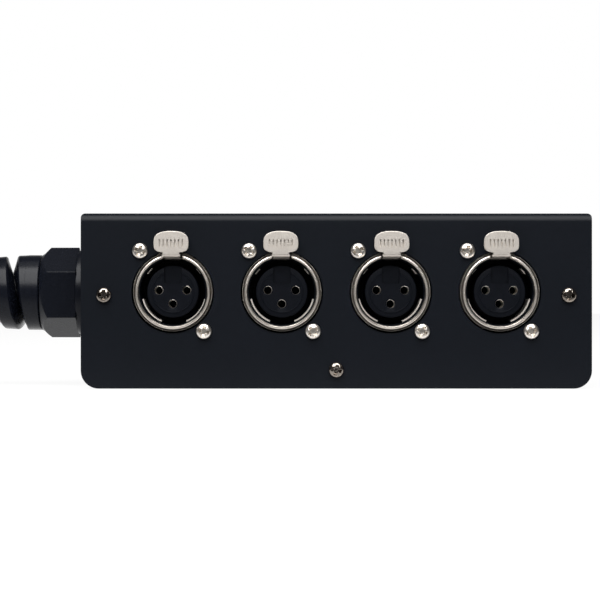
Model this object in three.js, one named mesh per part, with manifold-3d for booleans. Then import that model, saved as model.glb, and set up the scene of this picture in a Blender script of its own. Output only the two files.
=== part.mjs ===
// Stage box snake: a folded steel box with four female sockets, and a multicore cable that leaves
// through a spiral gland and ends in a fan-out of four male plugs. Millimetres, +Z up.
// The box stands on z = 0 around x = y = 0. Its sockets face -Y and its cable leaves towards -X.
import * as THREE from "three";
import { mergeVertices } from "three/addons/utils/BufferGeometryUtils.js";
import Module from "manifold-3d";

const wasm = await Module();
wasm.setup();

// Clearances that all pieces share
const FIT = 0.3; // between pieces that fit into each other
const SEAT = 0.15; // between flat faces that rest on each other
const OVERRUN = 1; // how far a cutter runs past what it cuts

// Box
const SOCKET_COUNT = 4;
const SOCKET_PITCH = 32;
const BOX_END_ROOM = 27; // from the outermost socket's middle to the box's end
const BOX_LENGTH = (SOCKET_COUNT - 1) * SOCKET_PITCH + 2 * BOX_END_ROOM;
const BOX_DEPTH = 55;
const BOX_HEIGHT = 51.5;
const SHEET = 1.5;
const COVER_BEND_RADIUS = 2.5;
const FLAP_CORNER_RADIUS = 5.3;
const TOP_CORNER_RADIUS = 1.2;
const TRAY_INSET = 0.8; // of the tray's end walls behind the cover's ends
const TRAY_BEND_RADIUS = 4;
const TAB_WIDTH = 12;
const TAB_HEIGHT = 13;
const LIP_WIDTH = 16;
const LIP_HEIGHT = 10;

// Cover screws
const COVER_SCREW_HEAD_RADIUS = 2.45;
const COVER_SCREW_HEAD_HEIGHT = 1.5;
const COVER_SCREW_SHANK_RADIUS = 1.4;
const HEAD_CROWN_SHARE = 0.55; // of a screw head's radius, flat on top
const HEAD_EDGE_SHARE = 0.4; // of a screw head's height, at its rim
const COVER_SCREW_LENGTH = 6;
const SIDE_SCREW_INSET = 6.8; // from the box's end
const SIDE_SCREW_X = BOX_LENGTH / 2 - SIDE_SCREW_INSET;
const SIDE_SCREW_Z = 27.4;
const BOTTOM_SCREW_Z = 5.5;

// Sockets
const SOCKET_LIFT = 2.65; // of the sockets' middle above the middle of the box
const SOCKET_Z = BOX_HEIGHT / 2 + SOCKET_LIFT;
const PANEL_HOLE_RADIUS = 12.1;
const RING_RADIUS = 11.6;
const RING_BORE_RADIUS = 10.1;
const RING_PROUD = 0.8;
const RING_EDGE = 0.4; // chamfer of the ring's front
const SOCKET_BORE_DEPTH = 13.5;
const SOCKET_FLOOR = 4;
const SOCKET_DEPTH = 21;
const FLANGE_WIDTH = 26;
const FLANGE_HEIGHT = 31;
const FLANGE_THICKNESS = 2;
const FLANGE_CORNER_RADIUS = 2.5;
const INSERT_RADIUS = 7.65;
const INSERT_FRONT = 1; // behind the panel's face
const INSERT_BASE_RADIUS = 9.7;
const INSERT_BASE_LENGTH = 2.5;
const CONTACT_HOLE_RADIUS = 1.3;
const CONTACT_HOLE_DEPTH = 11;
const CONTACT_SIDE = 4.1;
const CONTACT_SIDE_RISE = 0.5;
const CONTACT_LOW = 3.5;
const KEY_WIDTH = 5.2;
const KEY_RISE = 2.4;
const KEY_DEPTH = 0.6;
const CUP_RADIUS = 1.1;
const CUP_LENGTH = 3.5;
const SOCKET_SCREW_X = 9.5;
const SOCKET_SCREW_Z = 12;
const SOCKET_SCREW_HEAD_RADIUS = 2.5;
const SOCKET_SCREW_HEAD_HEIGHT = 1.6;
const SOCKET_SCREW_SHANK_RADIUS = 1.4;
const SOCKET_SCREW_LENGTH = 5;

// Latch lever of a socket
const LEVER_SHEET = 1;
const LEVER_REACH = 3.4; // of the tab's front before the panel
const LEVER_RISE = 10; // of the arm's underside above the socket's axis
const LEVER_ARM_WIDTH = 4.9;
const TAB_PLATE_WIDTH = 10.3;
const TAB_PLATE_BOTTOM = 11.7;
const TAB_PLATE_TOP = 17.7;
const TAB_PLATE_CORNER = 1.8;
const TAB_PLATE_CROWN = 0.9;
const LEVER_PIVOT_DEPTH = 11;
const LEVER_PIVOT_RISE = 11.2;
const LEVER_PIN_RADIUS = 0.9;
const LEVER_PIN_LENGTH = 9.4;
const LEVER_TAIL_END = 16.8;
const LEVER_TAIL_LIFT = 1.9;
const LEVER_SWING_DEGREES = 7;
const HOOK_DEPTH = 5.5;
const HOOK_LENGTH = 1.6;
const HOOK_DROP = 1;
const SLOT_WIDTH = 5.7;
const PANEL_NOTCH_TOP = 13.2;
const SADDLE_WIDTH = 10.4;
const SADDLE_TOP = 13.6;
const SADDLE_START = 7;
const SPRING_RADIUS = 1; // of the wire's centreline
const SPRING_WIRE = 0.4;
const SPRING_CURLS = 2;
const SPRING_DEPTH = 15.4;
const SPRING_FOOT = 8.4;

// Gland, measured outward from the box's end wall
const GLAND_BELOW_SOCKETS = 0.1;
const GLAND_Z = SOCKET_Z - GLAND_BELOW_SOCKETS;
const CABLE_RADIUS = 5;
const THREAD_RADIUS = 9.8;
const THREAD_LENGTH = 8;
const WASHER_RADIUS = 12.6;
const WASHER_THICKNESS = 1.8;
const COLLAR_RADIUS = 13;
const COLLAR_LENGTH = 3.2;
const HEX_ACROSS_FLATS = 24;
const HEX_LENGTH = 10;
const HEX_CHAMFER = 2.6;
const SEAL_OUTER_RADIUS = 8.3;
const SEAL_LENGTH = 6;
const SEAL_SEAT_DEPTH = 9.4; // of the chamber in the body's outer end
const CAP_RADIUS = 11.4;
const CAP_LENGTH = 4.2;
const CAP_SPIGOT_LENGTH = 3;
const LOCKNUT_ACROSS_FLATS = 25;
const LOCKNUT_THICKNESS = 4.5;

// Spiral relief of the gland's cap
const SPIRAL_PITCH = 7.6;
const SPIRAL_TURNS = 4.25;
const SPIRAL_START_TURN = 0.28; // where it leaves the cap, in turns from the bottom
const SPIRAL_ROOT_RADIUS = 6.4;
const SPIRAL_ROOT_WIDTH = 7;
const SPIRAL_CREST_WIDTH = 3.6;
const SPIRAL_CREST_RADIUS = 11;
const SPIRAL_END_RADIUS = 8.2;
const SPIRAL_STEPS = 14; // for one turn
const ENTRY_LENGTH = 12; // of jacketed cable inside the box

// Trunk cable and its coil
const CABLE_PITCH = 10.5; // from turn to turn and from layer to layer
const COIL_FROM_WALL = 140.8;
const COIL_Y = 62.5;
const COIL_INNER_RADIUS = 43;
const COIL_FIRST_TURNS = 3.5;
const COIL_LAYER_TURNS = 3;
const COIL_LAYERS = 4;
const COIL_STEPS = 24; // for one turn
const COIL_SIDES = 6;
const COIL_START_RADIUS = COIL_INNER_RADIUS + COIL_FIRST_TURNS * CABLE_PITCH;
const TIE_DEGREES = 150;
const TIE_WIDTH = 16;
const TIE_THICKNESS = 1.2;

// Fan-out
const TAIL_RADIUS = 2.5;
const TAIL_PITCH = 5.8;
const FANOUT_LENGTH = 28;
const FANOUT_RADIUS = 7;
const FANOUT_WIDTH = 27;
const FANOUT_THICKNESS = 9;

// Plugs, measured from the cup's mouth
const PLUG_RADIUS = 9.5;
const PLUG_CUP_RADIUS = 8.2;
const PLUG_CUP_DEPTH = 14;
const PLUG_LENGTH = 58;
const PLUG_WAIST_RADIUS = 7.6;
const PLUG_TAPER_LENGTH = 12;
const PLUG_BORE_RADIUS = 5.6;
const PLUG_INSERT_LENGTH = 10;
const PIN_RADIUS = 1.2;
const PIN_LENGTH = 11;
const BOOT_RADIUS = 7.2;
const BOOT_END_RADIUS = 4;
const BOOT_LENGTH = 17;
const BOOT_SPIGOT_LENGTH = 6;
const PLUG_MOUTH_X = 52; // from the coil's centre
const PLUG_ROWS = [-25, -4, 17.3, 38.6];

// Round pieces' sides
const FINE_SIDES = 20;
const MEDIUM_SIDES = 16;
const SCREW_SIDES = 10;
const COARSE_SIDES = 8;

const FRONT_Y = -BOX_DEPTH / 2;
const WALL_X = -BOX_LENGTH / 2 + TRAY_INSET; // outer face of the gland's end wall
const QUARTER = Math.PI / 2;
const radians = THREE.MathUtils.degToRad;

const paint = (color, roughness, metalness = 0) =>
  new THREE.MeshStandardMaterial({ color, roughness, metalness });
const FINISH = {
  coat: paint(0x1b1e22, 0.5),
  nickel: paint(0xd8d0c8, 0.28, 1),
  blackScrew: paint(0x3a3836, 0.35, 1),
  nylon: paint(0x1c1e21, 0.45),
  rubber: paint(0x141518, 0.8),
  insert: paint(0x181b20, 0.5),
  jacket: paint(0x151619, 0.6),
  tape: paint(0x121212, 0.9),
  spring: paint(0xb9b9b9, 0.3, 1),
};

// A closed geometry as a solid for cuts and joins
function solidOf(geometry) {
  const bare = geometry.index ? geometry.toNonIndexed() : geometry.clone();
  bare.deleteAttribute("normal");
  bare.deleteAttribute("uv");
  const merged = mergeVertices(bare, 1e-4);
  return new wasm.Manifold(
    new wasm.Mesh({
      numProp: 3,
      vertProperties: merged.attributes.position.array,
      triVerts: new Uint32Array(merged.index.array),
    }),
  );
}

function geometryOf(solid) {
  const made = solid.getMesh();
  const geometry = new THREE.BufferGeometry();
  geometry.setAttribute("position", new THREE.BufferAttribute(new Float32Array(made.vertProperties), 3));
  geometry.setIndex(new THREE.BufferAttribute(new Uint32Array(made.triVerts), 1));
  return geometry;
}

const stageBox = new THREE.Group();

// Adds a solid to the object as one named sub-part
function place(name, solid, material, x = 0, y = 0, z = 0) {
  const mesh = new THREE.Mesh(geometryOf(solid), material);
  mesh.name = name;
  mesh.position.set(x, y, z);
  stageBox.add(mesh);
  return mesh;
}

// A block between two corners
function block([x0, y0, z0], [x1, y1, z1]) {
  const geometry = new THREE.BoxGeometry(x1 - x0, y1 - y0, z1 - z0);
  return solidOf(geometry.translate((x0 + x1) / 2, (y0 + y1) / 2, (z0 + z1) / 2));
}

// A solid of revolution about Y from [radius, y] points in order round the section
function turned(section, sides) {
  const area = section.reduce((sum, [r, y], i) => {
    const [nextR, nextY] = section[(i + 1) % section.length];
    return sum + r * nextY - nextR * y;
  }, 0);
  const points = (area > 0 ? section : [...section].reverse()).map(([r, y]) => new THREE.Vector2(r, y));
  const first = points.findIndex((p) => p.x === 0);
  if (first < 0) return solidOf(new THREE.LatheGeometry([...points, points[0]], sides));
  // A section that touches the axis starts and ends there
  const order = [...points.slice(first), ...points.slice(0, first)];
  const start = order[1].x === 0 ? [...order.slice(1), order[0]] : order;
  return solidOf(new THREE.LatheGeometry(start, sides));
}

// A round bar along Y
const barY = (radius, y0, y1, sides, x = 0, z = 0) =>
  solidOf(new THREE.CylinderGeometry(radius, radius, y1 - y0, sides).translate(x, (y0 + y1) / 2, z));

// A round bar along X
const barX = (radius, x0, x1, sides, y = 0, z = 0) =>
  solidOf(
    new THREE.CylinderGeometry(radius, radius, x1 - x0, sides)
      .rotateZ(QUARTER)
      .translate((x0 + x1) / 2, y, z),
  );

// An outline in x and z, extruded along Y from y0 to y1
function slabY(shape, y0, y1, curveSegments = 6) {
  const geometry = new THREE.ExtrudeGeometry(shape, { depth: y1 - y0, bevelEnabled: false, curveSegments });
  return solidOf(geometry.rotateX(QUARTER).translate(0, y1, 0));
}

// A rectangle with its own radius at each corner: lower left, lower right, upper right, upper left
function roundedRectangle(x0, y0, x1, y1, [a, b, c, d]) {
  const shape = new THREE.Shape();
  shape.moveTo(x0 + a, y0);
  shape.lineTo(x1 - b, y0);
  shape.absarc(x1 - b, y0 + b, b, -QUARTER, 0);
  shape.lineTo(x1, y1 - c);
  shape.absarc(x1 - c, y1 - c, c, 0, QUARTER);
  shape.lineTo(x0 + d, y1);
  shape.absarc(x0 + d, y1 - d, d, QUARTER, 2 * QUARTER);
  shape.lineTo(x0, y0 + a);
  shape.absarc(x0 + a, y0 + a, a, 2 * QUARTER, 3 * QUARTER);
  return shape;
}

// A tube or ridge through rings of points, each ring in the same order, closed by flat ends
function sweptRings(rings) {
  const sides = rings[0].length;
  const position = rings.flat(2);
  const middles = [rings[0], rings.at(-1)].map((ring) =>
    [0, 1, 2].map((k) => ring.reduce((sum, p) => sum + p[k], 0) / sides),
  );
  const index = [];
  for (let i = 0; i + 1 < rings.length; i++) {
    for (let j = 0; j < sides; j++) {
      const a = i * sides + j;
      const b = i * sides + ((j + 1) % sides);
      index.push(a, b, b + sides, a, b + sides, a + sides);
    }
  }
  const start = rings.length * sides;
  const last = start - sides;
  for (let j = 0; j < sides; j++) {
    const next = (j + 1) % sides;
    index.push(start, next, j, start + 1, last + j, last + next);
  }
  const geometry = new THREE.BufferGeometry();
  geometry.setAttribute("position", new THREE.Float32BufferAttribute([...position, ...middles.flat()], 3));
  geometry.setIndex(index);
  const solid = solidOf(geometry);
  if (solid.volume() > 0) return solid;
  geometry.setIndex(index.map((_, i) => index[i - (i % 3) + 2 - (i % 3)]));
  return solidOf(geometry);
}

// Rings of a round tube along points, kept upright, with each ring square to the route
function roundTube(points, radius, sides) {
  const up = new THREE.Vector3(0, 0, 1);
  const route = points.map((p) => new THREE.Vector3(...p));
  return sweptRings(
    route.map((p, i) => {
      const ahead = route[Math.min(i + 1, route.length - 1)].clone();
      const along = ahead.sub(route[Math.max(i - 1, 0)]).normalize();
      const side = new THREE.Vector3().crossVectors(along, up).normalize();
      const top = new THREE.Vector3().crossVectors(side, along);
      return Array.from({ length: sides }, (_, j) => {
        const turn = (2 * Math.PI * (j + 0.5)) / sides;
        return p
          .clone()
          .addScaledVector(side, radius * Math.cos(turn))
          .addScaledVector(top, radius * Math.sin(turn))
          .toArray();
      });
    }),
  );
}

// A cord's stretch through chosen points, straight for one radius at each end
function cordTube(points, radius, step, sides) {
  const route = points.map((p) => new THREE.Vector3(...p));
  const curve = new THREE.CatmullRomCurve3(route, false, "centripetal");
  const between = curve.getSpacedPoints(Math.ceil(curve.getLength() / step)).slice(1, -1);
  const inward = (end, next) => next.clone().sub(end).setLength(radius).add(end);
  const [first, last] = [route[0], route.at(-1)];
  const run = [first, inward(first, route[1]), ...between, inward(last, route.at(-2)), last];
  return roundTube(
    run.map((p) => p.toArray()),
    radius,
    sides,
  );
}

// The least distance between stretches of a route that are more than half a turn apart, less the tube
function leastGap(points, perTurn, diameter) {
  let least = Infinity;
  for (let i = 0; i < points.length; i++) {
    for (let j = i + Math.floor(perTurn / 2); j < points.length; j++) {
      least = Math.min(least, Math.hypot(...points[i].map((v, k) => v - points[j][k])));
    }
  }
  return least - diameter;
}

const mirrored = [-1, 1];
const socketXs = Array.from({ length: SOCKET_COUNT }, (_, i) => (i - (SOCKET_COUNT - 1) / 2) * SOCKET_PITCH);
const coverScrews = [
  { label: "left", x: -SIDE_SCREW_X, z: SIDE_SCREW_Z },
  { label: "right", x: SIDE_SCREW_X, z: SIDE_SCREW_Z },
  { label: "bottom", x: 0, z: BOTTOM_SCREW_Z },
];
const socketScrews = [
  { label: "upper", x: -SOCKET_SCREW_X, z: SOCKET_SCREW_Z },
  { label: "lower", x: SOCKET_SCREW_X, z: -SOCKET_SCREW_Z },
];

// The folded cover: top with a front and a rear flap
function cover() {
  const half = BOX_DEPTH / 2;
  const outer = new THREE.Shape();
  const bend = COVER_BEND_RADIUS;
  outer.moveTo(-half, 0);
  outer.lineTo(-half + SHEET, 0);
  outer.lineTo(-half + SHEET, BOX_HEIGHT - bend);
  outer.absarc(-half + bend, BOX_HEIGHT - bend, bend - SHEET, 2 * QUARTER, QUARTER, true);
  outer.lineTo(half - bend, BOX_HEIGHT - SHEET);
  outer.absarc(half - bend, BOX_HEIGHT - bend, bend - SHEET, QUARTER, 0, true);
  outer.lineTo(half - SHEET, 0);
  outer.lineTo(half, 0);
  outer.lineTo(half, BOX_HEIGHT - bend);
  outer.absarc(half - bend, BOX_HEIGHT - bend, bend, 0, QUARTER);
  outer.lineTo(-half + bend, BOX_HEIGHT);
  outer.absarc(-half + bend, BOX_HEIGHT - bend, bend, QUARTER, 2 * QUARTER);
  const folded = new THREE.ExtrudeGeometry(outer, { depth: BOX_LENGTH, bevelEnabled: false, curveSegments: 4 });
  // Shape x becomes y and shape y becomes z
  folded.rotateX(QUARTER).rotateZ(QUARTER).translate(-BOX_LENGTH / 2, 0, 0);
  const end = BOX_LENGTH / 2;
  const corners = [FLAP_CORNER_RADIUS, FLAP_CORNER_RADIUS, TOP_CORNER_RADIUS, TOP_CORNER_RADIUS];
  const face = roundedRectangle(-end, 0, end, BOX_HEIGHT, corners);
  let solid = solidOf(folded).intersect(slabY(face, -half - OVERRUN, half + OVERRUN));
  const front = [FRONT_Y - OVERRUN, FRONT_Y + SHEET + OVERRUN];
  for (const x of socketXs) {
    solid = solid.subtract(barY(PANEL_HOLE_RADIUS, ...front, FINE_SIDES, x, SOCKET_Z));
    solid = solid.subtract(
      block(
        [x - SLOT_WIDTH / 2 - FIT, front[0], SOCKET_Z],
        [x + SLOT_WIDTH / 2 + FIT, front[1], SOCKET_Z + PANEL_NOTCH_TOP],
      ),
    );
    for (const s of socketScrews) {
      const radius = SOCKET_SCREW_SHANK_RADIUS + FIT;
      solid = solid.subtract(barY(radius, ...front, COARSE_SIDES, x + s.x, SOCKET_Z + s.z));
    }
  }
  for (const s of coverScrews) {
    solid = solid.subtract(
      barY(COVER_SCREW_SHANK_RADIUS + FIT, -half - OVERRUN, half + OVERRUN, COARSE_SIDES, s.x, s.z),
    );
  }
  return solid;
}

// The folded tray: bottom, two end walls, four screw tabs and two bottom lips
function baseTray() {
  const end = BOX_LENGTH / 2 - TRAY_INSET;
  const top = BOX_HEIGHT - COVER_BEND_RADIUS - SEAT;
  const half = BOX_DEPTH / 2 - SHEET - SEAT;
  const bend = TRAY_BEND_RADIUS;
  const outer = slabY(roundedRectangle(-end, 0, end, top + bend, [bend, bend, 0, 0]), -half, half, 4);
  const inner = roundedRectangle(-end + SHEET, SHEET, end - SHEET, top + 2 * bend, [
    bend - SHEET,
    bend - SHEET,
    0,
    0,
  ]);
  const above = block([-end - OVERRUN, -half - OVERRUN, top], [end + OVERRUN, half + OVERRUN, top + 2 * bend]);
  let solid = outer.subtract(slabY(inner, -half - OVERRUN, half + OVERRUN, 4)).subtract(above);
  for (const side of mirrored) {
    const y0 = side < 0 ? -half : half - SHEET;
    const y1 = y0 + SHEET;
    for (const s of coverScrews.filter((screw) => screw.x)) {
      const edge = Math.sign(s.x) * (end - SHEET / 2);
      const reach = edge - Math.sign(s.x) * TAB_WIDTH;
      solid = solid.add(
        block(
          [Math.min(edge, reach), y0, s.z - TAB_HEIGHT / 2],
          [Math.max(edge, reach), y1, s.z + TAB_HEIGHT / 2],
        ),
      );
    }
    solid = solid.add(block([-LIP_WIDTH / 2, y0, SHEET / 2], [LIP_WIDTH / 2, y1, LIP_HEIGHT]));
  }
  for (const s of coverScrews) {
    solid = solid.subtract(
      barY(COVER_SCREW_SHANK_RADIUS + FIT, -half - OVERRUN, half + OVERRUN, COARSE_SIDES, s.x, s.z),
    );
  }
  const wall = [WALL_X - OVERRUN, WALL_X + SHEET + OVERRUN];
  return solid.subtract(barX(THREAD_RADIUS + FIT, ...wall, FINE_SIDES, 0, GLAND_Z));
}

// A pan-head screw along Y with its head's underside at y = 0 and its tip at +Y
function panScrew(headRadius, headHeight, shankRadius, length) {
  return turned(
    [
      [0, -headHeight],
      [headRadius * HEAD_CROWN_SHARE, -headHeight],
      [headRadius, -headHeight * HEAD_EDGE_SHARE],
      [headRadius, 0],
      [shankRadius, 0],
      [shankRadius, length],
      [0, length],
    ],
    SCREW_SIDES,
  );
}

function addCoverScrews() {
  const sizes = [
    COVER_SCREW_HEAD_RADIUS,
    COVER_SCREW_HEAD_HEIGHT,
    COVER_SCREW_SHANK_RADIUS,
    COVER_SCREW_LENGTH,
  ];
  for (const s of coverScrews) {
    const front = place("cover_screw_front_" + s.label, panScrew(...sizes), FINISH.blackScrew, s.x, 0, s.z);
    front.position.y = FRONT_Y - SEAT;
    const rear = place("cover_screw_rear_" + s.label, panScrew(...sizes), FINISH.blackScrew, s.x, 0, s.z);
    rear.rotation.z = Math.PI;
    rear.position.y = -FRONT_Y + SEAT;
  }
}

// A socket's pieces are drawn about its axis, with y = 0 at the panel's face
const FLANGE_FRONT = SHEET + SEAT;

// The die-cast shell: ring, flange behind the panel, barrel and the saddle that carries the latch
function socketShell() {
  const floor = SOCKET_BORE_DEPTH + SOCKET_FLOOR;
  let solid = turned(
    [
      [RING_RADIUS - RING_EDGE, -RING_PROUD],
      [RING_RADIUS, -RING_PROUD + RING_EDGE],
      [RING_RADIUS, SOCKET_DEPTH],
      [RING_BORE_RADIUS, SOCKET_DEPTH],
      [RING_BORE_RADIUS, floor],
      [INSERT_RADIUS + FIT, floor],
      [INSERT_RADIUS + FIT, SOCKET_BORE_DEPTH],
      [RING_BORE_RADIUS, SOCKET_BORE_DEPTH],
      [RING_BORE_RADIUS, -RING_PROUD + RING_EDGE],
      [RING_BORE_RADIUS + RING_EDGE, -RING_PROUD],
    ],
    FINE_SIDES,
  );
  const corner = FLANGE_CORNER_RADIUS;
  const [w, h] = [FLANGE_WIDTH / 2, FLANGE_HEIGHT / 2];
  const flange = slabY(
    roundedRectangle(-w, -h, w, h, [corner, corner, corner, corner]),
    FLANGE_FRONT,
    FLANGE_FRONT + FLANGE_THICKNESS,
    3,
  );
  const core = barY(
    (RING_RADIUS + RING_BORE_RADIUS) / 2,
    FLANGE_FRONT - OVERRUN,
    FLANGE_FRONT + FLANGE_THICKNESS + OVERRUN,
    FINE_SIDES,
  );
  const saddle = block([-SADDLE_WIDTH / 2, SADDLE_START, LEVER_RISE], [SADDLE_WIDTH / 2, floor, SADDLE_TOP]);
  solid = solid.add(flange.subtract(core)).add(saddle);
  const slotFloor = LEVER_RISE - FIT;
  const slot = block(
    [-SLOT_WIDTH / 2, -RING_PROUD - OVERRUN, slotFloor],
    [SLOT_WIDTH / 2, floor + OVERRUN, SADDLE_TOP + OVERRUN],
  );
  // The hook drops through the bore's wall, so the slot opens into the bore
  const window = block(
    [-SLOT_WIDTH / 2, -RING_PROUD - OVERRUN, RING_BORE_RADIUS - 2 * HOOK_DROP],
    [SLOT_WIDTH / 2, HOOK_DEPTH + HOOK_LENGTH + OVERRUN, SADDLE_TOP],
  );
  solid = solid.subtract(slot).subtract(window);
  const pinSpan = SADDLE_WIDTH / 2 + OVERRUN;
  solid = solid.subtract(
    barX(LEVER_PIN_RADIUS + FIT, -pinSpan, pinSpan, COARSE_SIDES, LEVER_PIVOT_DEPTH, LEVER_PIVOT_RISE),
  );
  const pocket = new THREE.CylinderGeometry(
    SPRING_RADIUS + SPRING_WIRE / 2 + FIT,
    SPRING_RADIUS + SPRING_WIRE / 2 + FIT,
    2 * (LEVER_RISE - SPRING_FOOT),
    COARSE_SIDES,
  );
  solid = solid.subtract(solidOf(pocket.rotateX(QUARTER).translate(0, SPRING_DEPTH, LEVER_RISE)));
  for (const s of socketScrews) {
    const radius = SOCKET_SCREW_SHANK_RADIUS + FIT;
    solid = solid.subtract(
      barY(radius, FLANGE_FRONT - OVERRUN, FLANGE_FRONT + FLANGE_THICKNESS + OVERRUN, COARSE_SIDES, s.x, s.z),
    );
  }
  return solid;
}

const contacts = [
  [-CONTACT_SIDE, CONTACT_SIDE_RISE],
  [CONTACT_SIDE, CONTACT_SIDE_RISE],
  [0, -CONTACT_LOW],
];

// The moulded insert with its three contact holes, key recess and solder cups
function socketInsert() {
  const base = SOCKET_BORE_DEPTH + SOCKET_FLOOR + SEAT;
  const back = base + INSERT_BASE_LENGTH;
  let solid = turned(
    [
      [0, INSERT_FRONT],
      [INSERT_RADIUS, INSERT_FRONT],
      [INSERT_RADIUS, base],
      [INSERT_BASE_RADIUS, base],
      [INSERT_BASE_RADIUS, back],
      [0, back],
    ],
    FINE_SIDES,
  );
  solid = solid.subtract(
    block(
      [-KEY_WIDTH / 2, INSERT_FRONT - OVERRUN, KEY_RISE],
      [KEY_WIDTH / 2, INSERT_FRONT + KEY_DEPTH, INSERT_RADIUS + OVERRUN],
    ),
  );
  for (const [x, z] of contacts) {
    const hole = barY(
      CONTACT_HOLE_RADIUS,
      INSERT_FRONT - OVERRUN,
      INSERT_FRONT + CONTACT_HOLE_DEPTH,
      COARSE_SIDES,
      x,
      z,
    );
    const cup = barY(CUP_RADIUS, back - INSERT_BASE_LENGTH / 2, back + CUP_LENGTH, COARSE_SIDES - 2, x, z);
    solid = solid.subtract(hole).add(cup);
  }
  return solid;
}

// The pressed lever: push tab, neck, arm with its hook, pivot pin and tail
function latchLever() {
  const front = -LEVER_REACH;
  const arm = LEVER_ARM_WIDTH / 2;
  const top = LEVER_RISE + LEVER_SHEET;
  const half = TAB_PLATE_WIDTH / 2;
  const corner = TAB_PLATE_CORNER;
  const shape = new THREE.Shape();
  shape.moveTo(-arm, LEVER_RISE);
  shape.lineTo(arm, LEVER_RISE);
  shape.lineTo(arm, TAB_PLATE_BOTTOM);
  shape.lineTo(half - corner, TAB_PLATE_BOTTOM);
  shape.absarc(half - corner, TAB_PLATE_BOTTOM + corner, corner, -QUARTER, 0);
  shape.lineTo(half, TAB_PLATE_TOP - TAB_PLATE_CROWN - corner);
  shape.quadraticCurveTo(half, TAB_PLATE_TOP - TAB_PLATE_CROWN, half - corner, TAB_PLATE_TOP - TAB_PLATE_CROWN / 2);
  shape.quadraticCurveTo(0, TAB_PLATE_TOP + TAB_PLATE_CROWN / 2, -half + corner, TAB_PLATE_TOP - TAB_PLATE_CROWN / 2);
  shape.quadraticCurveTo(-half, TAB_PLATE_TOP - TAB_PLATE_CROWN, -half, TAB_PLATE_TOP - TAB_PLATE_CROWN - corner);
  shape.lineTo(-half, TAB_PLATE_BOTTOM + corner);
  shape.absarc(-half + corner, TAB_PLATE_BOTTOM + corner, corner, 2 * QUARTER, 3 * QUARTER);
  shape.lineTo(-arm, TAB_PLATE_BOTTOM);
  let solid = slabY(shape, front, front + LEVER_SHEET, 4);
  solid = solid.add(block([-arm, front, LEVER_RISE], [arm, LEVER_PIVOT_DEPTH + LEVER_SHEET, top]));
  solid = solid.add(
    block([-arm, HOOK_DEPTH, LEVER_RISE - HOOK_DROP], [arm, HOOK_DEPTH + HOOK_LENGTH, LEVER_RISE + LEVER_SHEET / 2]),
  );
  const pin = LEVER_PIN_LENGTH / 2;
  solid = solid.add(barX(LEVER_PIN_RADIUS, -pin, pin, COARSE_SIDES, LEVER_PIVOT_DEPTH, LEVER_PIVOT_RISE));
  const tail = LEVER_RISE + LEVER_TAIL_LIFT;
  solid = solid.add(block([-arm, LEVER_PIVOT_DEPTH, LEVER_RISE], [arm, LEVER_PIVOT_DEPTH + LEVER_SHEET, tail]));
  return solid.add(
    block([-arm, LEVER_PIVOT_DEPTH, tail - LEVER_SHEET / 2], [arm, LEVER_TAIL_END, tail + LEVER_SHEET / 2]),
  );
}

// The return spring under the lever's tail, wound about Z
function latchSpring() {
  const foot = SPRING_FOOT + SPRING_WIRE / 2 + SEAT;
  const head = LEVER_RISE + LEVER_TAIL_LIFT - LEVER_SHEET / 2 - SPRING_WIRE / 2 - SEAT;
  const steps = 8 * SPRING_CURLS;
  const points = Array.from({ length: steps + 1 }, (_, i) => {
    const turn = (2 * Math.PI * SPRING_CURLS * i) / steps;
    return [SPRING_RADIUS * Math.cos(turn), SPRING_RADIUS * Math.sin(turn), foot + ((head - foot) * i) / steps];
  });
  return { solid: roundTube(points, SPRING_WIRE / 2, 5), gap: leastGap(points, 8, SPRING_WIRE) };
}

function addSockets() {
  const shell = socketShell();
  const insert = socketInsert();
  const lever = latchLever();
  const spring = latchSpring();
  console.log("latch spring's least gap to itself", spring.gap.toFixed(2), "mm");
  const screw = [
    SOCKET_SCREW_HEAD_RADIUS,
    SOCKET_SCREW_HEAD_HEIGHT,
    SOCKET_SCREW_SHANK_RADIUS,
    SOCKET_SCREW_LENGTH,
  ];
  socketXs.forEach((x, i) => {
    const number = i + 1;
    place("socket_shell_" + number, shell, FINISH.nickel, x, FRONT_Y, SOCKET_Z);
    place("socket_insert_" + number, insert, FINISH.insert, x, FRONT_Y, SOCKET_Z);
    place("latch_lever_" + number, lever, FINISH.nickel, x, FRONT_Y, SOCKET_Z);
    place("latch_spring_" + number, spring.solid, FINISH.spring, x, FRONT_Y + SPRING_DEPTH, SOCKET_Z);
    for (const s of socketScrews) {
      const name = "socket_screw_" + s.label + "_" + number;
      place(name, panScrew(...screw), FINISH.nickel, x + s.x, FRONT_Y - SEAT, SOCKET_Z + s.z);
    }
  });
}

// Gland pieces are turned about Y, with y measured outward from the end wall, and laid along -X
function placeOnWall(name, solid, material) {
  const mesh = place(name, solid, material, WALL_X, 0, GLAND_Z);
  mesh.rotation.z = QUARTER;
}

// A hexagonal bar along Y with its corners up and down
function hexBar(acrossFlats, y0, y1) {
  const radius = acrossFlats / Math.sqrt(3);
  const bar = new THREE.CylinderGeometry(radius, radius, y1 - y0, 6);
  return solidOf(bar.translate(0, (y0 + y1) / 2, 0));
}

const COLLAR_START = WASHER_THICKNESS + 2 * SEAT;
const HEX_START = COLLAR_START + COLLAR_LENGTH;
const HEX_END = HEX_START + HEX_LENGTH;
const CABLE_BORE = CABLE_RADIUS + FIT;

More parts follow.
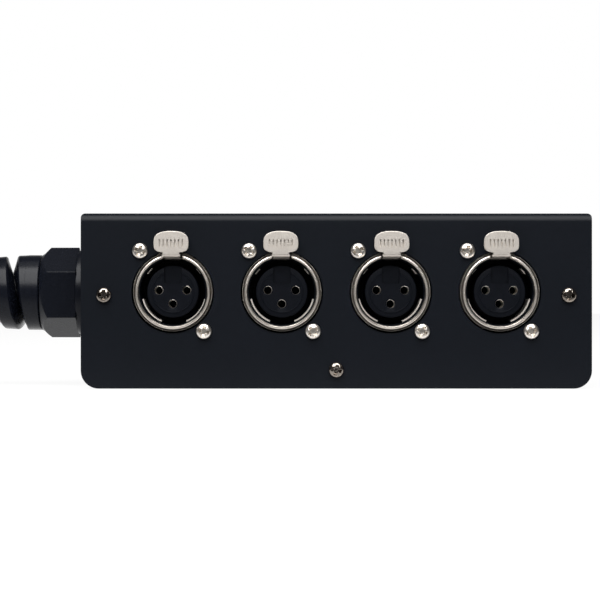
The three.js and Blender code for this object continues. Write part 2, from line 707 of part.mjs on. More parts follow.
function glandBody() {
  const corner = HEX_ACROSS_FLATS / Math.sqrt(3);
  const chamfer = turned(
    [
      [0, HEX_START - OVERRUN],
      [corner + OVERRUN, HEX_START - OVERRUN],
      [corner + OVERRUN, HEX_END - HEX_CHAMFER - OVERRUN],
      [corner - HEX_CHAMFER, HEX_END],
      [0, HEX_END],
    ],
    FINE_SIDES,
  );
  const hex = hexBar(HEX_ACROSS_FLATS, HEX_START - SHEET, HEX_END).intersect(chamfer);
  const outside = turned(
    [
      [0, -THREAD_LENGTH - SHEET],
      [THREAD_RADIUS, -THREAD_LENGTH - SHEET],
      [THREAD_RADIUS, COLLAR_START],
      [COLLAR_RADIUS, COLLAR_START],
      [COLLAR_RADIUS, HEX_START],
      [0, HEX_START],
    ],
    FINE_SIDES,
  );
  return outside
    .add(hex)
    .subtract(barY(CABLE_BORE, -THREAD_LENGTH - SHEET - OVERRUN, HEX_END + OVERRUN, MEDIUM_SIDES))
    .subtract(barY(SEAL_OUTER_RADIUS + FIT, HEX_END - SEAL_SEAT_DEPTH, HEX_END + OVERRUN, MEDIUM_SIDES));
}

const hollowDisc = (inner, outer, y0, y1, sides) =>
  turned(
    [
      [inner, y0],
      [outer, y0],
      [outer, y1],
      [inner, y1],
    ],
    sides,
  );

// Ridge of the spiral relief: a trapezium that is wound outward and drawn in towards its end
function spiralRidge(start) {
  const steps = Math.round(SPIRAL_TURNS * SPIRAL_STEPS);
  const rings = Array.from({ length: steps + 1 }, (_, i) => {
    const turn = i / SPIRAL_STEPS;
    const angle = 2 * Math.PI * (turn + SPIRAL_START_TURN);
    const y = start + SPIRAL_PITCH * turn;
    const along = i / steps;
    const crest = THREE.MathUtils.lerp(SPIRAL_CREST_RADIUS, SPIRAL_END_RADIUS, along ** 2);
    const section = [
      [CABLE_BORE, y - SPIRAL_ROOT_WIDTH / 2],
      [SPIRAL_ROOT_RADIUS, y - SPIRAL_ROOT_WIDTH / 2],
      [crest, y - SPIRAL_CREST_WIDTH / 2],
      [crest, y + SPIRAL_CREST_WIDTH / 2],
      [SPIRAL_ROOT_RADIUS, y + SPIRAL_ROOT_WIDTH / 2],
      [CABLE_BORE, y + SPIRAL_ROOT_WIDTH / 2],
    ];
    // Angles run from the bottom up over the front
    return section.map(([r, at]) => [-r * Math.sin(angle), at, -r * Math.cos(angle)]);
  });
  return sweptRings(rings);
}

const CAP_START = HEX_END + FIT;
const SPIRAL_START = CAP_START + SPIRAL_ROOT_WIDTH / 2;
const SPIRAL_END = SPIRAL_START + SPIRAL_PITCH * SPIRAL_TURNS + SPIRAL_ROOT_WIDTH / 2;

function glandCap() {
  const body = turned(
    [
      [CABLE_BORE, CAP_START - CAP_SPIGOT_LENGTH],
      [SEAL_OUTER_RADIUS, CAP_START - CAP_SPIGOT_LENGTH],
      [SEAL_OUTER_RADIUS, CAP_START],
      [CAP_RADIUS, CAP_START],
      [CAP_RADIUS, CAP_START + CAP_LENGTH],
      [CABLE_BORE, CAP_START + CAP_LENGTH],
    ],
    FINE_SIDES,
  );
  return body.add(spiralRidge(SPIRAL_START));
}

function addGland() {
  const washer = hollowDisc(THREAD_RADIUS + FIT, WASHER_RADIUS, SEAT, SEAT + WASHER_THICKNESS, FINE_SIDES);
  placeOnWall("gland_washer", washer, FINISH.rubber);
  placeOnWall("gland_body", glandBody(), FINISH.nylon);
  const sealEnd = CAP_START - CAP_SPIGOT_LENGTH - SEAT;
  const seal = hollowDisc(CABLE_BORE, SEAL_OUTER_RADIUS, sealEnd - SEAL_LENGTH, sealEnd, MEDIUM_SIDES);
  placeOnWall("gland_seal", seal, FINISH.rubber);
  placeOnWall("gland_spiral_cap", glandCap(), FINISH.nylon);
  const nutFace = -SHEET - SEAT;
  const nut = hexBar(LOCKNUT_ACROSS_FLATS, nutFace - LOCKNUT_THICKNESS, nutFace).subtract(
    barY(THREAD_RADIUS + FIT, nutFace - LOCKNUT_THICKNESS - OVERRUN, nutFace + OVERRUN, FINE_SIDES),
  );
  placeOnWall("gland_locknut", nut, FINISH.nylon);
}

// Jacketed cable through the gland, and its four pairs to the sockets' solder cups
function cableEntry() {
  const insideX = WALL_X + THREAD_LENGTH + ENTRY_LENGTH;
  const endX = WALL_X - SPIRAL_END + CABLE_RADIUS;
  let solid = barX(CABLE_RADIUS, endX, insideX, COARSE_SIDES, 0, GLAND_Z);
  const cupY = FRONT_Y + SOCKET_BORE_DEPTH + SOCKET_FLOOR + SEAT + INSERT_BASE_LENGTH + CUP_LENGTH + FIT;
  const pairRadius = CABLE_RADIUS / 3;
  for (const x of socketXs) {
    const pair = new THREE.CatmullRomCurve3(
      [
        [insideX - CABLE_RADIUS, 0, GLAND_Z],
        [insideX + pairRadius, CABLE_RADIUS, GLAND_Z],
        [Math.max(x - SOCKET_PITCH / 4, insideX + CABLE_RADIUS), 2 * CABLE_RADIUS, SOCKET_Z - CABLE_RADIUS],
        [x, CABLE_RADIUS + pairRadius, SOCKET_Z - CONTACT_LOW],
        [x, cupY, SOCKET_Z - CONTACT_LOW],
      ].map((p) => new THREE.Vector3(...p)),
    );
    solid = solid.add(roundTube(pair.getSpacedPoints(8).map((p) => p.toArray()), pairRadius, 6));
  }
  return solid;
}

// The coil rests on its tie
const COIL_FLOOR = TIE_THICKNESS + 2 * SEAT + CABLE_RADIUS;
const COIL_X = WALL_X - COIL_FROM_WALL;
const TRUNK_START_X = WALL_X - SPIRAL_END + CABLE_RADIUS - FIT;

// Trunk route from the relief's end down to the floor, where the coil takes over; the drop is measured from the wall
const TRUNK_DROP = [
  [56.8, 0, 28.3],
  [65.8, -0.5, 27.6],
  [74.8, -2.2, 25.6],
  [83.8, -4.8, 22.2],
  [92.8, -8.6, 17.4],
  [101.8, -12.4, 12.6],
  [110.8, -15.1, 9.2],
  [119.8, -16.7, 7.2],
];
const TRUNK_ROUTE = [
  [TRUNK_START_X, 0, GLAND_Z],
  ...TRUNK_DROP.map(([out, y, z]) => [WALL_X - out, y, z]),
  [COIL_X + 16, COIL_Y - COIL_START_RADIUS, COIL_FLOOR],
  [COIL_X + 2 * CABLE_RADIUS + FIT, COIL_Y - COIL_START_RADIUS, COIL_FLOOR],
];

// The coil: four layers that spiral in and out, each climbing in the half turn where it reverses
function coilRoute() {
  const points = [];
  const lastTurn = COIL_FIRST_TURNS + (COIL_LAYERS - 1) * COIL_LAYER_TURNS;
  const steps = Math.round(lastTurn * COIL_STEPS);
  for (let i = 0; i <= steps; i++) {
    const turn = i / COIL_STEPS;
    const past = Math.max(0, turn - COIL_FIRST_TURNS);
    const layer = turn < COIL_FIRST_TURNS ? 0 : 1 + Math.min(Math.floor(past / COIL_LAYER_TURNS), COIL_LAYERS - 2);
    const along = layer ? past - (layer - 1) * COIL_LAYER_TURNS : turn;
    const outward = layer % 2 === 1;
    const whole = layer ? COIL_LAYER_TURNS : COIL_FIRST_TURNS;
    const radius = COIL_INNER_RADIUS + CABLE_PITCH * (outward ? along : whole - along);
    // A quarter turn before a reversal starts the climb and a quarter turn after ends it
    let height = layer;
    if (layer < COIL_LAYERS - 1 && whole - along < 0.25) height += 0.5 - 2 * (whole - along);
    if (layer > 0 && along < 0.25) height -= 0.5 - 2 * along;
    const angle = -QUARTER - 2 * Math.PI * turn;
    points.push([
      COIL_X + radius * Math.cos(angle),
      COIL_Y + radius * Math.sin(angle),
      COIL_FLOOR + CABLE_PITCH * height,
    ]);
  }
  return points;
}

// The coil's end lifts off the top layer and runs straight into the fan-out boot
const COIL_TOP = COIL_FLOOR + (COIL_LAYERS - 1) * CABLE_PITCH + CABLE_RADIUS;
const FANOUT_Z = COIL_TOP + FANOUT_RADIUS + FIT;
const FANOUT_Y = 65; // from the coil's centre
const FANOUT_X = -3; // its start, from the coil's centre
const COIL_EXIT = [
  [-57.9, 44.5, 38],
  [-51.8, 51.8, 38.8],
  [-45.8, 56.9, 40.8],
  [-39, 60.8, 43.8],
  [-31.6, 63.5, 47.1],
  [-23.9, 64.8, 49.2],
  [FANOUT_X - 2 * CABLE_RADIUS, FANOUT_Y, FANOUT_Z],
  [FANOUT_X - FIT, FANOUT_Y, FANOUT_Z],
];

function addTrunk() {
  place("cable_entry", cableEntry(), FINISH.jacket);
  place("trunk_cable", cordTube(TRUNK_ROUTE, CABLE_RADIUS, 2 * CABLE_RADIUS, COARSE_SIDES), FINISH.jacket);
  const turns = coilRoute();
  // The last sixth of the top layer's last turn gives way to the chosen exit points
  const kept = turns.slice(0, -COIL_STEPS / 6);
  const lead = [COIL_X + 2 * CABLE_RADIUS, COIL_Y - COIL_START_RADIUS, COIL_FLOOR];
  const route = [lead, ...kept, ...COIL_EXIT.map(([x, y, z]) => [COIL_X + x, COIL_Y + y, z])];
  place("trunk_coil", roundTube(route, CABLE_RADIUS, COIL_SIDES), FINISH.jacket);
  console.log("coil's least gap to itself", leastGap(kept, COIL_STEPS, 2 * CABLE_RADIUS).toFixed(2), "mm");
}

// The strap round all turns of the coil, in a plane through the coil's axis
function addTie() {
  const inside = COIL_INNER_RADIUS - CABLE_RADIUS - 2 * FIT;
  const outside = COIL_START_RADIUS + CABLE_RADIUS + 2 * FIT;
  const corner = CABLE_RADIUS;
  const ring = (grow, width) =>
    slabY(
      roundedRectangle(
        inside - grow,
        TIE_THICKNESS - grow,
        outside + grow,
        COIL_TOP + 2 * FIT + grow,
        [corner, corner, corner, corner].map((r) => r + grow),
      ),
      -width / 2,
      width / 2,
      3,
    );
  const strap = ring(TIE_THICKNESS, TIE_WIDTH).subtract(ring(0, TIE_WIDTH + 2 * OVERRUN));
  const mesh = place("coil_tie", strap, FINISH.tape, COIL_X, COIL_Y, 0);
  mesh.rotation.z = radians(TIE_DEGREES);
}

// The fan-out boot: round where the trunk enters, flat and wide where the tails leave, along +X
function fanoutBoot() {
  const sides = MEDIUM_SIDES;
  const shares = [0, 0.3, 0.65, 1];
  const rings = shares.map((share) => {
    const blend = THREE.MathUtils.smoothstep(share, 0, 1);
    const wide = THREE.MathUtils.lerp(FANOUT_RADIUS, FANOUT_WIDTH / 2, blend);
    const high = THREE.MathUtils.lerp(FANOUT_RADIUS, FANOUT_THICKNESS / 2, blend);
    return Array.from({ length: sides }, (_, j) => {
      const turn = (2 * Math.PI * j) / sides;
      const round = (v) => Math.sign(v) * Math.abs(v) ** (1 - blend / 2);
      return [share * FANOUT_LENGTH, wide * round(Math.cos(turn)), high * round(Math.sin(turn))];
    });
  });
  return sweptRings(rings);
}

const PLUG_Z = COIL_TOP + 2 * TAIL_RADIUS + PLUG_RADIUS + 3 * FIT;

// Tail routes from the fan-out boot round the coil's top to the plugs, innermost tail first:
// [radius, degrees, height] about the middle of the coil's top
const TAIL_ROUTES = [
  [
    [63.6, 61.7, 6.6], [65.7, 55.4, 4.4], [67, 47.3, 3.1], [66.5, 38.2, 3], [63.6, 28.3, 3],
    [52, -4, 3], [52, -22.3, 3], [52, -40.6, 3], [52, -58.9, 3], [52, -77.2, 3], [52, -95.5, 3],
    [52, -113.8, 3], [56.8, -132.1, 3.2], [53.9, -139.5, 7], [47.2, -143.7, 12.6],
  ],
  [
    [69.1, 63.3, 6.6], [71.4, 56.4, 4.4], [72.8, 47.5, 3.1], [72.2, 37.6, 3], [69.1, 26.7, 3],
    [57.8, -4, 3], [57.8, -21.9, 3], [57.8, -39.8, 3], [57.8, -57.7, 3], [57.8, -75.5, 3],
    [57.8, -93.4, 3], [57.8, -111.3, 3], [65.1, -133.7, 3], [64.1, -146.8, 5], [57.4, -159.1, 9.3],
    [45.8, -169.2, 13.5],
  ],
  [
    [74.6, 64.8, 6.6], [77.1, 57.3, 4.4], [78.6, 47.7, 3.1], [78, 37, 3], [74.6, 25.2, 3],
    [63.6, -4, 3], [63.6, -21.5, 3], [63.6, -39.1, 3], [63.6, -56.6, 3], [63.6, -74.2, 3],
    [63.6, -91.7, 3], [63.6, -109.3, 3], [72.7, -133.2, 3], [74.7, -148.4, 4], [71.6, -163.5, 7],
    [63.6, -178.6, 10.8], [51.3, -193.8, 14],
  ],
  [
    [80.2, 66, 6.6], [82.8, 58, 4.4], [84.4, 47.8, 3.1], [83.8, 36.5, 3], [80.2, 24, 3], [69.4, -4, 3],
    [69.4, -21.3, 3], [69.4, -38.5, 3], [69.4, -55.8, 3], [69.4, -73.1, 3], [69.4, -90.3, 3],
    [69.4, -107.6, 3], [77.6, -130.2, 3], [79.4, -145.5, 3.4], [77.8, -161.8, 5.5], [73.9, -178.9, 8.6],
    [68.2, -196.4, 11.8], [60.3, -213.8, 14.4],
  ],
];

const BOOT_END_X = PLUG_MOUTH_X - PLUG_LENGTH - BOOT_LENGTH - FIT;

function tailRoute(i) {
  const startX = FANOUT_X + FANOUT_LENGTH + FIT;
  const startY = FANOUT_Y + (i - 1.5) * TAIL_PITCH;
  const polar = TAIL_ROUTES[i].map(([r, degrees, z]) => [
    r * Math.cos(radians(degrees)),
    r * Math.sin(radians(degrees)),
    COIL_TOP + z,
  ]);
  const row = PLUG_ROWS[i];
  const local = [
    [startX, startY, FANOUT_Z],
    [startX + TAIL_RADIUS, startY, FANOUT_Z],
    ...polar,
    [BOOT_END_X - FIT - 3 * TAIL_RADIUS, row, PLUG_Z],
    [BOOT_END_X - FIT, row, PLUG_Z],
  ];
  return local.map(([x, y, z]) => [COIL_X + x, COIL_Y + y, z]);
}

// A plug's pieces are turned about Y with the cup's mouth at y = 0, and laid along -X
function plugShell() {
  const taper = PLUG_LENGTH - PLUG_TAPER_LENGTH;
  const seat = PLUG_CUP_DEPTH + PLUG_INSERT_LENGTH + FIT;
  return turned(
    [
      [PLUG_RADIUS, 0],
      [PLUG_RADIUS, taper],
      [PLUG_WAIST_RADIUS, PLUG_LENGTH],
      [PLUG_BORE_RADIUS, PLUG_LENGTH],
      [PLUG_BORE_RADIUS, seat],
      [PLUG_CUP_RADIUS, seat],
      [PLUG_CUP_RADIUS, 0],
    ],
    MEDIUM_SIDES,
  );
}

function plugInsert() {
  let solid = barY(PLUG_CUP_RADIUS - FIT, PLUG_CUP_DEPTH, PLUG_CUP_DEPTH + PLUG_INSERT_LENGTH, MEDIUM_SIDES);
  for (const [x, z] of contacts) {
    const tip = PLUG_CUP_DEPTH - PIN_LENGTH;
    solid = solid.add(barY(PIN_RADIUS, tip, PLUG_CUP_DEPTH + PIN_RADIUS, 6, x, z));
  }
  return solid;
}

function plugBoot() {
  const inner = TAIL_RADIUS + FIT;
  const start = PLUG_LENGTH + SEAT;
  const spigot = PLUG_BORE_RADIUS - FIT;
  return turned(
    [
      [inner, start - BOOT_SPIGOT_LENGTH],
      [spigot, start - BOOT_SPIGOT_LENGTH],
      [spigot, start],
      [BOOT_RADIUS, start],
      [BOOT_END_RADIUS, start + BOOT_LENGTH],
      [inner, start + BOOT_LENGTH],
    ],
    MEDIUM_SIDES,
  );
}

function addFanout() {
  place("fanout_boot", fanoutBoot(), FINISH.rubber, COIL_X + FANOUT_X, COIL_Y + FANOUT_Y, FANOUT_Z);
  const pieces = [
    ["plug_shell_", plugShell(), FINISH.nickel],
    ["plug_insert_", plugInsert(), FINISH.insert],
    ["plug_boot_", plugBoot(), FINISH.rubber],
  ];
  PLUG_ROWS.forEach((row, i) => {
    const number = i + 1;
    place("fanout_tail_" + number, cordTube(tailRoute(i), TAIL_RADIUS, 5 * TAIL_RADIUS, COIL_SIDES), FINISH.jacket);
    for (const [name, solid, material] of pieces) {
      const mesh = place(name + number, solid, material, COIL_X + PLUG_MOUTH_X, COIL_Y + row, PLUG_Z);
      mesh.rotation.z = QUARTER;
    }
  });
}

place("cover", cover(), FINISH.coat);
place("base_tray", baseTray(), FINISH.coat);
addCoverScrews();
addSockets();
addGland();
addTrunk();
addTie();
addFanout();

export default stageBox;
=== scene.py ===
# %% [markdown]
# # A stage box snake
# A small folded steel box holds four microphone sockets. One thick multicore cable leaves it through a
# nylon gland with a spiral relief, and ends in four plugs. The CAD model gives every place and size.
# This script keeps those and makes what the eye sees: round edges, screw slots, metal, plastic and cable.

# %% The frame
import math

import bpy
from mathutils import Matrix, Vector


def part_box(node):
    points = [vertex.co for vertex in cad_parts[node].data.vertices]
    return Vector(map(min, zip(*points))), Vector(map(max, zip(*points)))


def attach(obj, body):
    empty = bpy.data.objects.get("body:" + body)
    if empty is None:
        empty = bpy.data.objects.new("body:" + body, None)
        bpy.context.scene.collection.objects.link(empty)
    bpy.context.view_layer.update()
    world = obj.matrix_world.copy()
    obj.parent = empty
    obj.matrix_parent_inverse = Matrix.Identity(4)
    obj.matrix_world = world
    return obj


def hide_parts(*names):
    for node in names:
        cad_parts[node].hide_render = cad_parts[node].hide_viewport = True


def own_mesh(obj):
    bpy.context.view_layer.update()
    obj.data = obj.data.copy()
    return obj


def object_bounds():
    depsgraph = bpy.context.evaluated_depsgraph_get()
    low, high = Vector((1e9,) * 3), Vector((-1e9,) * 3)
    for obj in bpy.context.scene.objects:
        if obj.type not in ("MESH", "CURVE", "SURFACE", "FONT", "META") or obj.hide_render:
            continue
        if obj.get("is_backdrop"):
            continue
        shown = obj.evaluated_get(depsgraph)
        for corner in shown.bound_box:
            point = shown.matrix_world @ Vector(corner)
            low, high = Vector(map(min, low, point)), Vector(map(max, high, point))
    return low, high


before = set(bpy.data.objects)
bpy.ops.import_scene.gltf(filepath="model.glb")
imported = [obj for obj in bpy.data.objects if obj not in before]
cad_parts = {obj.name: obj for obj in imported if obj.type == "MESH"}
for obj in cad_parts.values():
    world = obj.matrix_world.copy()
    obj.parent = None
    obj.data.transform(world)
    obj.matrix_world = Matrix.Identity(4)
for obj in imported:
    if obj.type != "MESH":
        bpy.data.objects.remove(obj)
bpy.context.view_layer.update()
MM = 0.001
FRONT = -27.5  # face of the socket panel
WALL = -74.2  # outer face of the end wall that holds the gland
SOCKET_XS = [-48, -16, 16, 48]
SOCKET_Z = 28.4
GLAND_Z = 28.3

# %% [markdown]
# ## The camera
# The photograph looks straight at the sockets from about half a metre. A long lens at that distance
# shows the box as a plain rectangle, with just a little of the inside of each socket.

# %% Camera
VIEW_DISTANCE = 550  # from the panel
VIEW_WIDTH = 176  # of the picture, at the panel
bpy.ops.object.camera_add(
    location=(-10.66 * MM, (FRONT - VIEW_DISTANCE) * MM, 26 * MM), rotation=(math.radians(90), 0, 0)
)
camera = bpy.context.object
camera.data.lens = camera.data.sensor_width * VIEW_DISTANCE / VIEW_WIDTH
camera.data.clip_start = 0.01
bpy.context.scene.camera = camera
print("lens", round(camera.data.lens, 1), "mm")

# %% [markdown]
# ## Finishes
# Every finish starts from what the real one is. Colours are the hex values that a picture shows, so one
# function turns them to the linear numbers that Blender mixes with.


# %% Colour and node helpers
def linear(hex_colour):
    parts = [int(hex_colour[i : i + 2], 16) / 255 for i in (1, 3, 5)]
    return (*[c / 12.92 if c <= 0.04045 else ((c + 0.055) / 1.055) ** 2.4 for c in parts], 1)


def add_node(tree, kind, links=(), **settings):
    """Adds one node. Settings are its properties or its inputs, and links are (socket, input) pairs."""
    node = tree.nodes.new(kind)
    for name, value in settings.items():
        if hasattr(node, name):
            setattr(node, name, value)
        else:
            node.inputs[name.replace("_", " ")].default_value = value
    for socket, name in links:
        tree.links.new(socket, node.inputs[name])
    return node


def finish_of(name, colour, roughness, metallic=0.0, **sockets):
    """A material with its shader, and the object coordinates that its patterns use."""
    material = bpy.data.materials.new(name)
    material.use_nodes = True
    tree = material.node_tree
    shader = tree.nodes["Principled BSDF"]
    shader.inputs["Base Color"].default_value = linear(colour)
    shader.inputs["Roughness"].default_value = roughness
    shader.inputs["Metallic"].default_value = metallic
    for socket, value in sockets.items():
        shader.inputs[socket.replace("_", " ")].default_value = value
    place = add_node(tree, "ShaderNodeTexCoord").outputs["Object"]
    return material, tree, shader, place


def grain(tree, shader, place, size_mm, depth_mm, detail=3):
    """Bumps of one size all over, such as orange peel or moulded texture."""
    scale = 1 / (size_mm * MM)
    noise = add_node(tree, "ShaderNodeTexNoise", [(place, "Vector")], Scale=scale, Detail=detail)
    bump = add_node(
        tree, "ShaderNodeBump", [(noise.outputs["Fac"], "Height")], Strength=1.0, Distance=depth_mm * MM
    )
    tree.links.new(bump.outputs["Normal"], shader.inputs["Normal"])


def vary(tree, shader, place, socket, size_mm, low, high):
    """Lets one number or colour of the shader drift between two values over the surface."""
    noise = add_node(tree, "ShaderNodeTexNoise", [(place, "Vector")], Scale=1 / (size_mm * MM), Detail=2.0)
    if isinstance(low, str):
        mix = add_node(tree, "ShaderNodeMix", data_type="RGBA")
        mix.inputs[6].default_value, mix.inputs[7].default_value = linear(low), linear(high)
        tree.links.new(noise.outputs["Fac"], mix.inputs[0])
        tree.links.new(mix.outputs[2], shader.inputs[socket])
    else:
        spread = add_node(
            tree, "ShaderNodeMapRange", [(noise.outputs["Fac"], "Value")], To_Min=low, To_Max=high
        )
        tree.links.new(spread.outputs["Result"], shader.inputs[socket])


# %% [markdown]
# The box is powder coated: plastic dust is baked on to the steel. It flows out almost level, which leaves
# a faint orange peel about half a millimetre across, and a soft gloss.

# %% Powder coat
powder_coat, tree, shader, place = finish_of("powder_coat", "#080a0f", 0.4, Specular_IOR_Level=0.11)
grain(tree, shader, place, 0.45, 0.012)
vary(tree, shader, place, "Base Color", 18, "#070a0f", "#090c12")

# %% [markdown]
# The socket shells are zinc castings, tumbled and nickel plated. Nickel is a warm, slightly yellow
# silver. The push tabs are pressed from sheet and have a duller satin plate with fine pits.

# %% Nickel
nickel, tree, shader, place = finish_of("nickel_plated_casting", "#e2dad0", 0.34, 1.0)
grain(tree, shader, place, 0.3, 0.04)
vary(tree, shader, place, "Roughness", 1.5, 0.26, 0.4)

satin_nickel, tree, shader, place = finish_of("satin_nickel_sheet", "#e4dcd3", 0.42, 1.0)
grain(tree, shader, place, 0.16, 0.008)
vary(tree, shader, place, "Base Color", 0.5, "#dbd3ca", "#ede6dd")

bright_nickel, tree, shader, place = finish_of("bright_nickel_screw", "#ece5dc", 0.3, 1.0)
grain(tree, shader, place, 0.6, 0.05)
vary(tree, shader, place, "Base Color", 0.6, "#d0c8be", "#fbf6ef")

black_nickel, tree, shader, place = finish_of("black_nickel_screw", "#5b5550", 0.16, 1.0)
grain(tree, shader, place, 0.7, 0.05)
vary(tree, shader, place, "Base Color", 0.7, "#3a3633", "#b3a99f")

spring_steel, tree, shader, place = finish_of("spring_steel", "#b4b2ae", 0.25, 1.0)
grain(tree, shader, place, 0.2, 0.004)

# %% [markdown]
# The inserts are glass-filled nylon with a fine grain, the gland is smoother nylon with a soft gloss,
# the boots and seals are rubber, and the cable has a flexible PVC jacket with a dull, finely matted skin.

# %% Plastics, rubber and cable
insert_nylon, tree, shader, place = finish_of("glass_filled_nylon", "#04060c", 0.5, Specular_IOR_Level=0.06)
grain(tree, shader, place, 0.12, 0.006)
vary(tree, shader, place, "Base Color", 3, "#04060a", "#080a10")

gland_nylon, tree, shader, place = finish_of("moulded_nylon", "#0a0c12", 0.27, Specular_IOR_Level=0.13)
grain(tree, shader, place, 0.35, 0.006)
vary(tree, shader, place, "Roughness", 4, 0.22, 0.32)

rubber, tree, shader, place = finish_of("black_rubber", "#0f0f10", 0.62, Specular_IOR_Level=0.3)
grain(tree, shader, place, 0.2, 0.01)
vary(tree, shader, place, "Base Color", 5, "#0c0c0d", "#151516")

jacket, tree, shader, place = finish_of("pvc_cable_jacket", "#101113", 0.5, Specular_IOR_Level=0.35)
grain(tree, shader, place, 0.25, 0.012)
vary(tree, shader, place, "Roughness", 6, 0.42, 0.58)

# %% [markdown]
# The tie is woven hook-and-loop tape. Its loops are about half a millimetre across, so a small cell
# pattern gives the pile, and its soft edge catches light at a low angle, which is what sheen is for.

# %% Hook-and-loop tape
tape, tree, shader, place = finish_of("hook_and_loop_tape", "#121213", 0.9, Sheen_Weight=0.3)
cells = add_node(tree, "ShaderNodeTexVoronoi", [(place, "Vector")], Scale=1 / (0.6 * MM))
pile = add_node(
    tree, "ShaderNodeBump", [(cells.outputs["Distance"], "Height")], Strength=1.0, Distance=0.2 * MM
)
tree.links.new(pile.outputs["Normal"], shader.inputs["Normal"])
vary(tree, shader, place, "Base Color", 2, "#0e0e0f", "#1a1a1b")
print(len(bpy.data.materials), "finishes")

# %% [markdown]
# ## Small tools for the bench
# Most pieces here are turned: a circle is drawn out and widened step by step, as on a lathe. The others
# are plates with round corners. A few helpers do those steps with Blender's own operators.


# %% Selecting, placing and finishing
def deselect():
    bpy.ops.object.select_all(action="DESELECT")


def only(piece):
    deselect()
    piece.select_set(True)
    bpy.context.view_layer.objects.active = piece


def settle(piece, at=(0, 0, 0), turn=(0, 0, 0)):
    """Puts the turn and the place into the mesh, so that the object itself stays at the origin."""
    only(piece)
    piece.rotation_euler = [math.radians(a) for a in turn]
    piece.location = Vector(at) * MM
    bpy.ops.object.transform_apply(location=True, rotation=True, scale=True)
    return piece


def apply(piece, kind, **settings):
    only(piece)
    modifier = piece.modifiers.new(kind.lower(), kind)
    for name, value in settings.items():
        setattr(modifier, name, value)
    bpy.ops.object.modifier_apply(modifier=modifier.name)


def round_edges(piece, width, segments=3, angle=35):
    """Rounds every edge whose faces meet at more than an angle."""
    limit = math.radians(angle)
    apply(piece, "BEVEL", width=width * MM, segments=segments, limit_method="ANGLE", angle_limit=limit)


def cut(piece, *cutters, operation="DIFFERENCE"):
    for cutter in cutters:
        apply(piece, "BOOLEAN", object=cutter, operation=operation, solver="EXACT")
        bpy.data.objects.remove(cutter)


def join(name, *parts):
    only(parts[0])
    for part in parts:
        part.select_set(True)
    bpy.ops.object.join()
    parts[0].name = name
    return parts[0]


def copy_of(piece, name, move=(0, 0, 0)):
    twin = piece.copy()
    twin.data = piece.data.copy()
    twin.name = name
    bpy.context.collection.objects.link(twin)
    return settle(twin, move)


def dress(piece, finish, body="box", stands_for=(), smooth=35):
    """Gives a piece its finish and body, hides the CAD nodes it stands for, and smooths the faces that meet
    at low angles.
    """
    only(piece)
    if piece.type == "MESH":
        bpy.ops.object.shade_smooth_by_angle(angle=math.radians(smooth))
        apply(piece, "WEIGHTED_NORMAL", keep_sharp=True, weight=80)
    if not piece.data.materials:
        piece.data.materials.append(finish)
    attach(piece, body)
    if stands_for:
        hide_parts(*stands_for)
    deselect()
    return piece


# %% Turning and plates
def turned(name, profile, sides=64, ring=False):
    """A turned piece about Z from [radius, height] steps. A ring closes on its own first step."""
    radius, height = profile[0]
    bpy.ops.mesh.primitive_circle_add(vertices=sides, radius=radius * MM, location=(0, 0, height * MM))
    piece = bpy.context.object
    piece.name = name
    bpy.ops.object.transform_apply(location=True, rotation=False, scale=False)
    bpy.ops.object.mode_set(mode="EDIT")
    bpy.ops.mesh.select_mode(type="VERT")
    bpy.ops.mesh.select_all(action="SELECT")
    for (r0, z0), (r1, z1) in zip(profile, profile[1:]):
        bpy.ops.mesh.extrude_region_move(TRANSFORM_OT_translate={"value": (0, 0, (z1 - z0) * MM)})
        if r1 != r0:
            bpy.ops.transform.resize(value=(r1 / r0, r1 / r0, 1), center_override=(0, 0, z1 * MM))
    bpy.ops.mesh.select_mode(type="EDGE")
    bpy.ops.mesh.select_all(action="DESELECT")
    bpy.ops.mesh.select_non_manifold()
    if ring:
        bpy.ops.mesh.bridge_edge_loops()
    else:
        bpy.ops.mesh.select_all(action="SELECT")
        bpy.ops.mesh.fill_holes(sides=0)
    bpy.ops.mesh.select_all(action="SELECT")
    bpy.ops.mesh.normals_make_consistent(inside=False)
    bpy.ops.mesh.select_mode(type="VERT")
    bpy.ops.object.mode_set(mode="OBJECT")
    return piece


def block(name, low, high):
    """A box between two corners, as the start of a plate or a cutter."""
    middle = [(a + b) / 2 * MM for a, b in zip(low, high)]
    size = [(b - a) * MM for a, b in zip(low, high)]
    bpy.ops.mesh.primitive_cube_add(size=1, location=middle, scale=size)
    piece = bpy.context.object
    piece.name = name
    bpy.ops.object.transform_apply(location=True, rotation=False, scale=True)
    return piece


def choose(piece, kind, test):
    """Opens a piece for an edit with the vertices, edges or faces that a test picks."""
    only(piece)
    bpy.ops.object.mode_set(mode="EDIT")
    bpy.ops.mesh.select_mode(type=kind)
    bpy.ops.mesh.select_all(action="DESELECT")
    bpy.ops.object.mode_set(mode="OBJECT")
    mesh = piece.data
    for element in {"VERT": mesh.vertices, "EDGE": mesh.edges, "FACE": mesh.polygons}[kind]:
        element.select = bool(test(element))
    bpy.ops.object.mode_set(mode="EDIT")


def round_corners(piece, axis, chosen, radius, segments=8):
    """Rounds the edges of a block that run along one axis and whose middle is chosen, in millimetres."""

    def test(edge):
        a, b = (piece.data.vertices[v].co for v in edge.vertices)
        return abs((a - b).normalized()[axis]) > 0.99 and chosen((a + b) / 2 / MM)

    choose(piece, "EDGE", test)
    bpy.ops.mesh.bevel(offset=radius * MM, segments=segments, affect="EDGES")
    bpy.ops.object.mode_set(mode="OBJECT")


def rod(name, radius, start, end, sides=32):
    """A bar along Y between two points that share x and z."""
    piece = turned(name, [[radius, 0], [radius, end[1] - start[1]]], sides)
    return settle(piece, start, (-90, 0, 0))


# %% [markdown]
# ## The cable
# The multicore is 10 mm thick and almost 5 m long. It leaves the relief straight, drops to the floor and
# is stored as a neat coil of four layers, just outside the picture. A boot on top splits it into four thin
# tails, and each tail ends in a plug. The route repeats the CAD's points, in millimetres.

